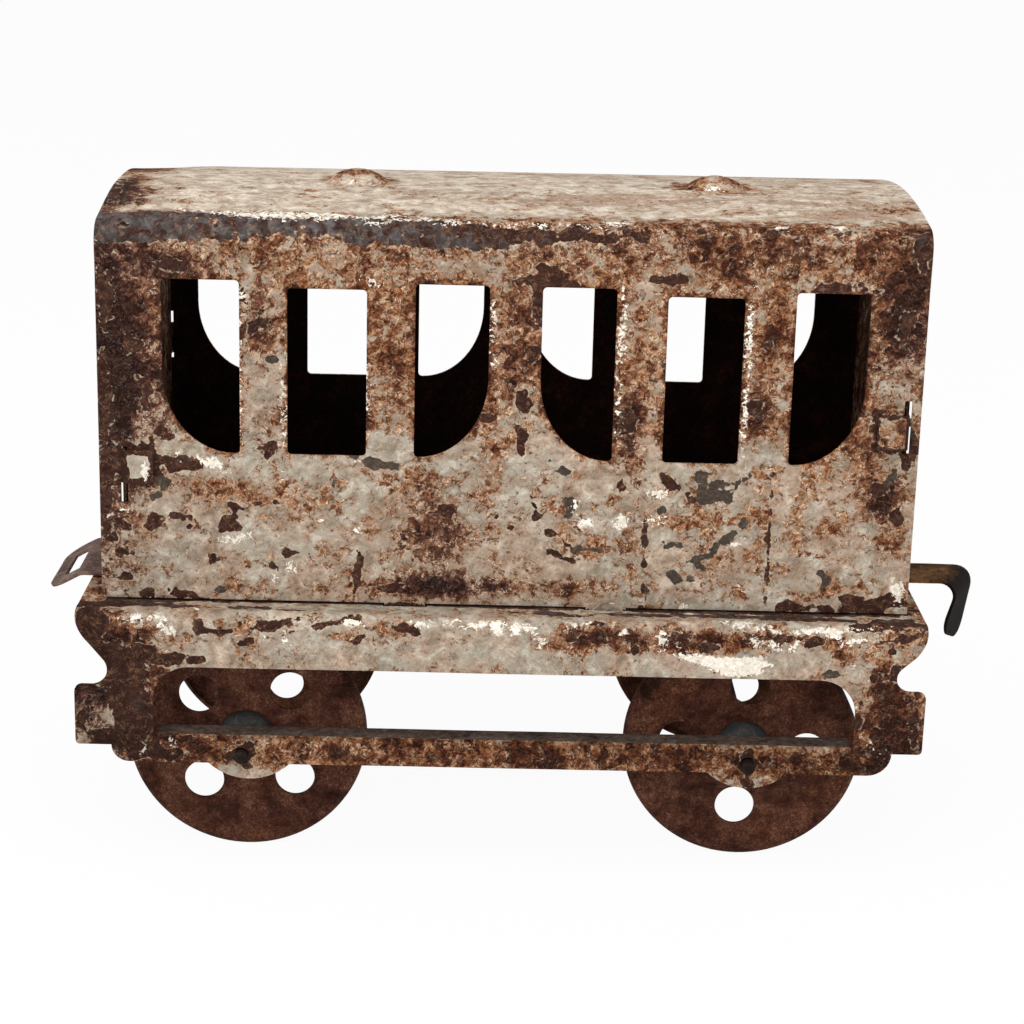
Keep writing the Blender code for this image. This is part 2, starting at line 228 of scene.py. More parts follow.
def handOver(piece, body, slot, *nodes):
    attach(piece, body)
    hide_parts(*nodes)


# wear: patches painted on the sheet, kept as distances in millimetres

def patchField(x, h, patches):
    # how far inside the nearest patch a point is; a patch is (x, h, half length, half height) with a lobed rim,
    # and a fifth number turns it
    best = np.full(len(x), nowhere)
    for px, ph, rx, rh, *turn in patches:
        slope = math.radians(turn[0] if turn else 0)
        c, s = math.cos(slope), math.sin(slope)
        along, across = ((x - px) * c + (h - ph) * s) / rx, (-(x - px) * s + (h - ph) * c) / rh
        angle, start = np.arctan2(across, along), px * 7.3 + ph * 3.1
        rim = 1 + 0.20 * np.sin(2 * angle + start) + 0.17 * np.sin(3 * angle + 2.3 * start)
        rim += 0.14 * np.sin(5 * angle - 1.7 * start)
        best = np.maximum(best, (rim - np.hypot(along, across)) * min(rx, rh))
    return best


def cloudField(x, h, base, clouds):
    # soft clouds added to a base level; a cloud is (x, h, half length, half height, amount)
    total = np.full(len(x), float(base))
    for px, ph, rx, rh, amount in clouds:
        total += amount * np.exp(-(((x - px) / rx) ** 2 + ((h - ph) / rh) ** 2))
    return total


def waves(points, size, seed):
    # smooth noise between -1 and 1 over places in millimetres
    return np.array([noise.noise(Vector((p[0] / size + seed, p[1] / size - seed, p[2] / size))) for p in points])


# finishes

def tint(r, g, b):
    # an sRGB colour from 0 to 255, as the linear one that nodes use
    shares = [v / 255 for v in (r, g, b)]
    return tuple(v / 12.92 if v <= 0.04045 else ((v + 0.055) / 1.055) ** 2.4 for v in shares) + (1.0,)


class NodeDesk:
    # a node tree with short ways to lay nodes in it
    def __init__(self, tree):
        self.tree = tree

    def join(self, source, target):
        if hasattr(source, "is_output"):
            self.tree.links.new(source, target)
        else:
            target.default_value = source

    def put(self, kind, inputs=None, **settings):
        node = self.tree.nodes.new(kind)
        for key, value in settings.items():
            setattr(node, key, value)
        for key, value in (inputs or {}).items():
            self.join(value, node.inputs[key])
        return node

    def lay(self, kind, inputs=None, **settings):
        return self.put(kind, inputs, **settings).outputs[0]

    def calc(self, operation, *values, clamp=False):
        return self.lay("ShaderNodeMath", dict(enumerate(values)), operation=operation, use_clamp=clamp)

    def chain(self, operation, first, *others, clamp=False):
        for value in others:
            first = self.calc(operation, first, value, clamp=clamp)
        return first

    def times(self, *values):
        return self.chain("MULTIPLY", *values)

    def plus(self, *values, clamp=False):
        return self.chain("ADD", *values, clamp=clamp)

    def less(self, *values):
        return self.chain("SUBTRACT", *values)

    def most(self, *values):
        return self.chain("MAXIMUM", *values)

    def least(self, *values):
        return self.chain("MINIMUM", *values)

    def timesPlus(self, value, factor, more, clamp=False):
        return self.calc("MULTIPLY_ADD", value, factor, more, clamp=clamp)

    def seenDirectly(self):
        # 1 for what the camera or a gloss sees, 0 for the light that falls on the object
        path = self.put("ShaderNodeLightPath")
        return self.most(path.outputs["Is Camera Ray"], path.outputs["Is Glossy Ray"])


class Bench(NodeDesk):
    # a material on an object's own places, in millimetres, with short ways to noise, steps and blends
    def __init__(self, name, shift):
        self.material = bpy.data.materials.new(name)
        self.material.use_nodes = True
        super().__init__(self.material.node_tree)
        self.place = self.put("ShaderNodeTexCoord").outputs["Object"]
        self.place = self.lay("ShaderNodeMapping", {"Vector": self.place, "Scale": (1000, 1000, 1000)})
        self.place = self.stretched((1, 1, 1), shift)

    def stretched(self, scale, shift):
        return self.lay("ShaderNodeMapping", {"Vector": self.place, "Scale": scale, "Location": shift})

    def warped(self, scale, amount):
        # places pushed about by noise, which makes patches curl
        push = self.put("ShaderNodeTexNoise", {"Vector": self.place, "Scale": scale, "Detail": 2.0}).outputs["Color"]
        centred = self.lay("ShaderNodeVectorMath", {0: push, 1: (0.5, 0.5, 0.5)}, operation="SUBTRACT")
        moves = {0: centred, 1: (amount, amount, amount), 2: self.place}
        return self.lay("ShaderNodeVectorMath", moves, operation="MULTIPLY_ADD")

    def grain(self, scale, detail=3.0, rough=0.55, distortion=0.0, place=None):
        return self.put("ShaderNodeTexNoise", {"Vector": place or self.place, "Scale": scale, "Detail": detail,
                                               "Roughness": rough, "Distortion": distortion}).outputs["Fac"]

    def step(self, value, low, high, bottom=0.0, top=1.0):
        limits = {"Value": value, "From Min": low, "From Max": high, "To Min": bottom, "To Max": top}
        return self.put("ShaderNodeMapRange", limits, clamp=True).outputs["Result"]

    def fade(self, share, atNone, atFull):
        return self.step(share, 0, 1, atNone, atFull)

    def field(self, name):
        return self.put("ShaderNodeAttribute", attribute_name=name).outputs["Fac"]

    def blend(self, amount, first, second, how="MIX"):
        mix = self.put("ShaderNodeMix", {0: amount, 6: first, 7: second}, data_type="RGBA", blend_type=how)
        return mix.outputs[2]

    def ramp(self, value, stops):
        node = self.put("ShaderNodeValToRGB", {"Fac": value})
        band = node.color_ramp
        while len(band.elements) < len(stops):
            band.elements.new(0.5)
        for element, (position, colour) in zip(band.elements, stops):
            element.position = position
            element.color = tint(*colour)
        return node.outputs["Color"]

    def tones(self, value, colours):
        return self.ramp(value, [(k / (len(colours) - 1), colour) for k, colour in enumerate(colours)])

    def shaded(self, colour, level):
        gray = self.lay("ShaderNodeCombineColor", {0: level, 1: level, 2: level})
        return self.blend(1.0, colour, gray, "MULTIPLY")

    def finish(self, colour, roughness, specular, height, depth):
        shader = self.tree.nodes["Principled BSDF"]
        bump = self.put("ShaderNodeBump", {"Distance": depth * mm, "Height": height}).outputs["Normal"]
        looks = {"Base Color": colour, "Roughness": roughness, "Specular IOR Level": specular, "Normal": bump}
        for key, value in looks.items():
            self.join(value, shader.inputs[key])
        return self.material


paintLook = {
    "beige": ((124, 104, 87), (152, 131, 113), (170, 150, 132), (194, 176, 158)),
    "green": ((130, 119, 103), (152, 141, 125), (168, 158, 143), (188, 181, 168)),
    "cream": ((150, 132, 114), (182, 166, 147), (203, 190, 173), (222, 212, 197)),
    "rust": ((168, 126, 93), (140, 93, 61), (111, 66, 40), (80, 42, 26), (48, 25, 17)),
    "maroon": ((124, 90, 74), (98, 67, 56), (74, 47, 41), (52, 32, 29), (34, 20, 18)),
    "soaked": ((158, 124, 98), (136, 101, 75), (110, 77, 54)),
    "oxide": ((40, 24, 20), (57, 36, 30), (84, 59, 49)),
    "cool": ((56, 50, 49), (80, 76, 76), (110, 108, 108)),
    "chip": ((52, 45, 39), (70, 61, 53), (94, 83, 72)),
    "white": ((212, 200, 184), (240, 234, 224)),
    "worm": (62, 38, 27), "lipHighlight": (204, 184, 160), "speck": (60, 39, 31),
    "curlSize": 0.75, "curlPush": 2.7, "paintedReliefShade": 0.36, "dirtDarkens": 0.45, "bump": 0.055,
}


def agedPaint(name, look, seed, grime):
    # old enamel: rust soaks in softly, flakes fall off, thin curls of rust and pale lips run through both; the pale
    # lips are painted highlights
    bench = Bench(name, (seed, -seed * 1.7, seed * 0.6))
    grain, step, fade, blend, tones, field = bench.grain, bench.step, bench.fade, bench.blend, bench.tones, bench.field
    times, plus, less, most, timesPlus = bench.times, bench.plus, bench.less, bench.most, bench.timesPlus
    curled = bench.warped(look["curlSize"], look["curlPush"])
    broad = grain(0.22, 5, 0.60, 0.2, curled)
    flaky = grain(0.72, 3, 0.58, 0.1, curled)
    fine = grain(1.5, 2, 0.55, 0.0, curled)
    tone = grain(0.45, 3, 0.55, 0.4, curled)
    dust = grain(6.5, 2, 0.6)
    roof, stain = field("roofShare"), field("stainShare")

    # enamel, grey-green in some places and warmer in others
    shade = step(timesPlus(grain(0.42, 4, 0.6, 0.6), 0.72, times(fine, 0.28)), 0.36, 0.62)
    greenish = step(grain(0.15, 4, 0.6, 0.4), 0.42, 0.55)
    paint = blend(greenish, tones(shade, look["beige"]), tones(shade, look["green"]))
    paint = blend(roof, paint, tones(shade, look["cream"]))

    # how much rust there is, set by the wear fields against the noise, with streaks and cracks along the roof
    heat = timesPlus(broad, 0.80, timesPlus(flaky, 0.58, timesPlus(fine, 0.18, -0.28)))
    deep = less(heat, timesPlus(field("rustLevel"), -0.30, 0.65))
    soak = timesPlus(stain, 0.07, deep)
    soaked = times(step(soak, -0.095, 0.045, 0.0, 0.85), fade(roof, 1.0, 0.8))
    streak = grain(1.0, 4, 0.60, 0.6, bench.stretched((0.20, 0.55, 0.55), (seed, 0, 0)))
    streaks = step(timesPlus(stain, 0.11, streak), 0.58, 0.68, 0.0, 0.7)
    cracks = step(bench.calc("ABSOLUTE", less(streak, 0.47)), 0.002, 0.010, 0.9, 0.0)
    cracks = times(cracks, step(grain(0.16, 2, 0.5), 0.47, 0.56))
    soaked = most(soaked, times(most(streaks, cracks), roof))
    colour = blend(soaked, paint, tones(step(fine, 0.34, 0.66), look["soaked"]))

    loss = step(deep, -0.006, 0.016)
    depth = plus(step(deep, 0.0, 0.26, 0.04, 0.96), step(fine, 0.3, 0.7, -0.18, 0.22))
    depth = plus(depth, step(tone, 0.36, 0.64, -0.22, 0.22), clamp=True)
    colour = blend(loss, colour, blend(field("maroonShare"), tones(depth, look["rust"]), tones(depth, look["maroon"])))

    # thin curls: the level lines of a noise, dark ones in rusty places and pale ones beside them as painted highlights
    def curls(size, low, high, turn):
        level = bench.calc("ABSOLUTE", less(grain(size, 2, 0.5, turn, curled), 0.5))
        return step(level, low, high, 1.0, 0.0)

    rusty = step(deep, -0.085, 0.0)
    broken = step(grain(0.7, 2, 0.5), 0.47, 0.56)
    dark = times(curls(0.75, 0.014, 0.046, 0.8), rusty, fade(broken, 0.05, 0.9), fade(roof, 1.0, 0.5))
    colour = blend(dark, colour, tint(*look["worm"]))
    pale = times(curls(0.9, 0.010, 0.036, 0.9), rusty, fade(broken, 0.85, 0.10), step(deep, 0.04, 0.20, 1.0, 0.12))
    colour = blend(pale, colour, tint(*look["lipHighlight"]))
    specks = times(step(grain(1.9, 2, 0.5, 0.3), 0.635, 0.655), step(soak, -0.16, -0.02, 0.25, 1.0), 0.85)
    colour = blend(specks, colour, tint(*look["speck"]))

    # listed patches, with a ragged rim and a pale lip round them
    rag = plus(step(grain(0.5, 2, 0.45), 0.25, 0.75, -0.60, 0.60), step(grain(1.5, 1, 0.5), 0.25, 0.75, -0.16, 0.16))
    edge = plus(field("darkMark"), rag)
    # the pale lip round a patch is a painted highlight along its edge
    rim = times(step(edge, -0.30, -0.12), step(grain(1.3, 2), 0.50, 0.58, 0.0, 0.5))
    colour = blend(rim, colour, tint(*look["lipHighlight"]))
    # the darkest marks also give painted shade: on tabs and plate in the slots, in the gap under the body and on the
    # platform inside it
    worn = step(edge, -0.04, 0.04)
    grit = step(timesPlus(flaky, 0.6, times(fine, 0.4)), 0.30, 0.70)
    coolness = timesPlus(field("coolShare"), 1.0, -0.42)
    coolness = plus(coolness, step(tone, 0.38, 0.62, -0.55, 0.55), clamp=True)
    flake = blend(coolness, tones(grit, look["oxide"]), tones(grit, look["cool"]))
    flake = blend(times(curls(0.8, 0.010, 0.034, 0.6), fade(broken, 0.30, 0.0)), flake, tint(*look["rust"][0]))
    colour = blend(worn, colour, flake)
    chipped = step(plus(field("chipMark"), times(rag, 0.8)), -0.04, 0.04)
    colour = blend(chipped, colour, tones(grit, look["chip"]))
    # pale marks: white specks and pale margins, and the painted highlights set on the domes, along the roof's edge and
    # on a tab
    whiteRag = plus(step(grain(1.3, 3, 0.60, 0.3, curled), 0.25, 0.75, -1.05, 0.75), field("whiteMark"))
    colour = blend(step(whiteRag, -0.03, 0.05), colour, tones(step(fine, 0.35, 0.65), look["white"]))

    # painted shade and highlight of a crumpled relief, as if lit from above, multiplied into the colour: the difference
    # between a noise and the same a little higher up
    lower = bench.stretched((1, 1, 1), (0.08, 0, -0.26))
    paintedReliefShade = less(grain(0.85, 3, 0.55, 0.7, lower), grain(0.85, 3, 0.55, 0.7))
    paintedReliefShade = step(paintedReliefShade, -0.12, 0.12, 1 - look["paintedReliefShade"], 1 + look["paintedReliefShade"])
    # how strongly this painted relief shade shows: most on rust, less on flakes and on the roof
    rough = times(fade(step(deep, -0.12, 0.02), 0.22, 1.0), fade(worn, 1.0, 0.45), fade(roof, 1.0, 0.45))
    colour = bench.shaded(colour, timesPlus(less(paintedReliefShade, 1.0), rough, 1.0))

    # fine dirt over all of it
    grimy = step(grain(0.12, 3, 0.55), 0.35, 0.65, 1.0 - grime * 0.6, 1.03)
    dirty = timesPlus(field("dirtShare"), -look["dirtDarkens"], 1.0)
    colour = bench.shaded(colour, times(step(dust, 0.36, 0.64, 0.94, 1.05), grimy, dirty))

    bare = most(loss, worn, chipped)
    height = timesPlus(less(1.0, bare), 0.9, times(fine, fade(bare, 0.35, 1.1)))
    height = plus(height, times(dust, 0.25))
    roughness = plus(fade(bare, 0.60, 0.84), step(fine, 0.3, 0.7, -0.08, 0.08))
    return bench.finish(colour, roughness, fade(bare, 0.22, 0.05), height, look["bump"])


def rustedMetal(name, stops, seed, grit, roughness=(0.72, 0.9), dust=None, shift=None, freckles=0.0):
    # bare rusted tin, fine-grained, with broad patches of another tone; dust is a tone and how much of it lies there,
    # shift is a field and how far it moves the tone
    bench = Bench(name, (seed, seed * 1.3, -seed))
    grain, step, blend, times, timesPlus = bench.grain, bench.step, bench.blend, bench.times, bench.timesPlus
    broad = grain(0.22, 4, 0.6, 0.4)
    mid = grain(0.9, 5, 0.68, 0.6)
    fine = grain(3.2, 4, 0.66, 0.3)
    value = step(timesPlus(broad, 0.42, timesPlus(mid, 0.33, times(fine, 0.25))), 0.36, 0.64)
    if shift:
        value = timesPlus(bench.field(shift[0]), shift[1], value, clamp=True)
    colour = bench.ramp(value, stops)
    pits = times(step(grain(1.9, 3, 0.6, 0.8), 0.62, 0.68), 0.55)
    colour = blend(pits, colour, tint(*stops[0][1]))
    if freckles:
        pale = step(grain(2.6, 4, 0.68, 1.2), 0.53, 0.62, 0.0, freckles)
        colour = blend(times(pale, step(broad, 0.38, 0.6)), colour, tint(*stops[-1][1]))
        warm = step(grain(0.12, 3, 0.6, 0.4), 0.5, 0.66, 0.0, 0.6)
        colour = blend(warm, colour, (1.12, 0.98, 0.72, 1.0), "MULTIPLY")
    if dust:
        colour = blend(step(grain(0.8, 5, 0.75, 0.8), 0.40, 0.64, 0.0, dust[1]), colour, tint(*dust[0]))
    colour = bench.shaded(colour, step(grain(6.0, 2, 0.6), 0.35, 0.65, 0.88, 1.12))
    height = bench.plus(fine, times(mid, 0.9))
    return bench.finish(colour, bench.fade(value, roughness[1], roughness[0]), 0.12, height, grit)


shellPaint = agedPaint("aged shell paint", paintLook, 3.1, 0.15)
endPaint = agedPaint("aged end wall paint", paintLook, 17.4, 0.25)
chassisPaint = agedPaint("aged chassis paint", paintLook, 8.6, 0.2)
# the shell's inside: a nearly black rust tone, mostly painted shade
insidePaintedShade = rustedMetal(
    "sooty inside", [(0.0, (14, 5, 3)), (0.5, (30, 12, 7)), (0.8, (56, 26, 14)), (1.0, (88, 46, 26))], 5.2, 0.05)
underRust = rustedMetal(
    "rusted underside", [(0.0, (34, 16, 9)), (0.45, (62, 33, 20)), (0.75, (92, 54, 33)), (1.0, (124, 84, 56))],
    6.4, 0.07)
discRust = rustedMetal(
    "rusted disc",
    [(0.0, (28, 12, 6)), (0.3, (52, 26, 17)), (0.6, (76, 43, 31)), (0.85, (98, 63, 48)), (1.0, (138, 102, 82))],
    2.7, 0.11, shift=("rimShare", -0.10), freckles=0.55)
cupSteel = rustedMetal(
    "grey hub cup", [(0.0, (24, 25, 26)), (0.5, (42, 45, 47)), (0.8, (64, 68, 70)), (1.0, (92, 95, 96))],
    9.9, 0.04, (0.5, 0.75), ((80, 66, 56), 0.35))
# rusted strip; its hook's leg is made much darker as painted shade
stripRustLegShade = rustedMetal(
    "worn drawbar strip", [(0.0, (15, 9, 6)), (0.35, (60, 38, 21)), (0.65, (106, 72, 41)), (1.0, (142, 108, 72))],
    12.3, 0.05, (0.7, 0.9), shift=("legPaintedShade", -0.75))
eyeRust = rustedMetal(
    "worn drawbar eye", [(0.0, (48, 34, 30)), (0.35, (82, 62, 55)), (0.65, (112, 91, 82)), (1.0, (146, 126, 114))],
    14.6, 0.05, (0.6, 0.8))
# the axle wire is nearly black: dark steel and painted shade
axleWirePaintedShade = rustedMetal(
    "dull axle wire", [(0.0, (10, 6, 5)), (0.5, (26, 16, 12)), (1.0, (54, 40, 33))], 4.4, 0.03, (0.6, 0.8))
ledgeDust = rustedMetal(
    "dusty ledge", [(0.0, (26, 17, 13)), (0.4, (50, 34, 27)), (0.7, (74, 58, 50)), (1.0, (110, 96, 88))],
    1.3, 0.08, dust=((104, 95, 88), 0.5))
print("finishes made")


# body: one sheet bent into two walls and a crowned roof

shellSizes = {
    "middle": -2.07, "half": 60.0, "halfWidth": 26.5, "foot": 40.5, "crownRadius": 150.0, "roofTop": 99.9,
    "cornerRadius": 3.2, "sheet": 0.5, "tabAt": 15.0, "tabHalf": 3.0, "tabEnd": 22.25, "tabBend": 0.75,
    "tabBendTop": 39.65, "windowPitch": 18.3, "windowShift": 0.55, "windowHalf": 5.35, "doorHalf": 5.55, "sill": 63.0,
    "head": 88.7, "doorHead": 87.7, "windowCorner": 0.6, "sweepWidth": 10.1, "sweepHeight": 12.0,
    "wider": (0.5, 0.4, 0.0, 0.0, 0.0, 0.0), "domeAt": (-23.9, 30.7), "domeRadius": 4.6, "domeHeight": 1.8,
    # slots: across from the wall's middle, on the front or not, outline as (across, up); narrow where a tab lies close
    "slots": (
        (-56.4, True, ((-0.45, 55.2), (0.55, 55.2), (0.55, 63.6), (-0.27, 63.6), (-0.27, 58.2), (-0.45, 58.2))),
        (58.05, True, ((-0.55, 65.2), (0.55, 65.2), (0.55, 69.3), (0.27, 69.3), (0.27, 70.5), (0.55, 70.5),
                       (0.55, 73.1), (-0.55, 73.1))),
        (-56.4, False, ((-0.55, 65.2), (0.55, 65.2), (0.55, 73.1), (-0.55, 73.1))),
        (58.05, False, ((-0.27, 58.3), (0.55, 58.3), (0.55, 63.6), (-0.27, 63.6)))),
    "tabRims": ((-56.9, -51.7, 58.0, 63.6, 0.45), (53.2, 57.6, 65.6, 71.3, 0.10)),    # box round a front tab, how dark
    "sagLeft": 0.45, "cornerDent": 0.7, "doorLines": (-34.9, -16.3, 20.4, 38.9), "lineDepth": 0.2,
    "sway": 0.16, "edge": 0.11,
}

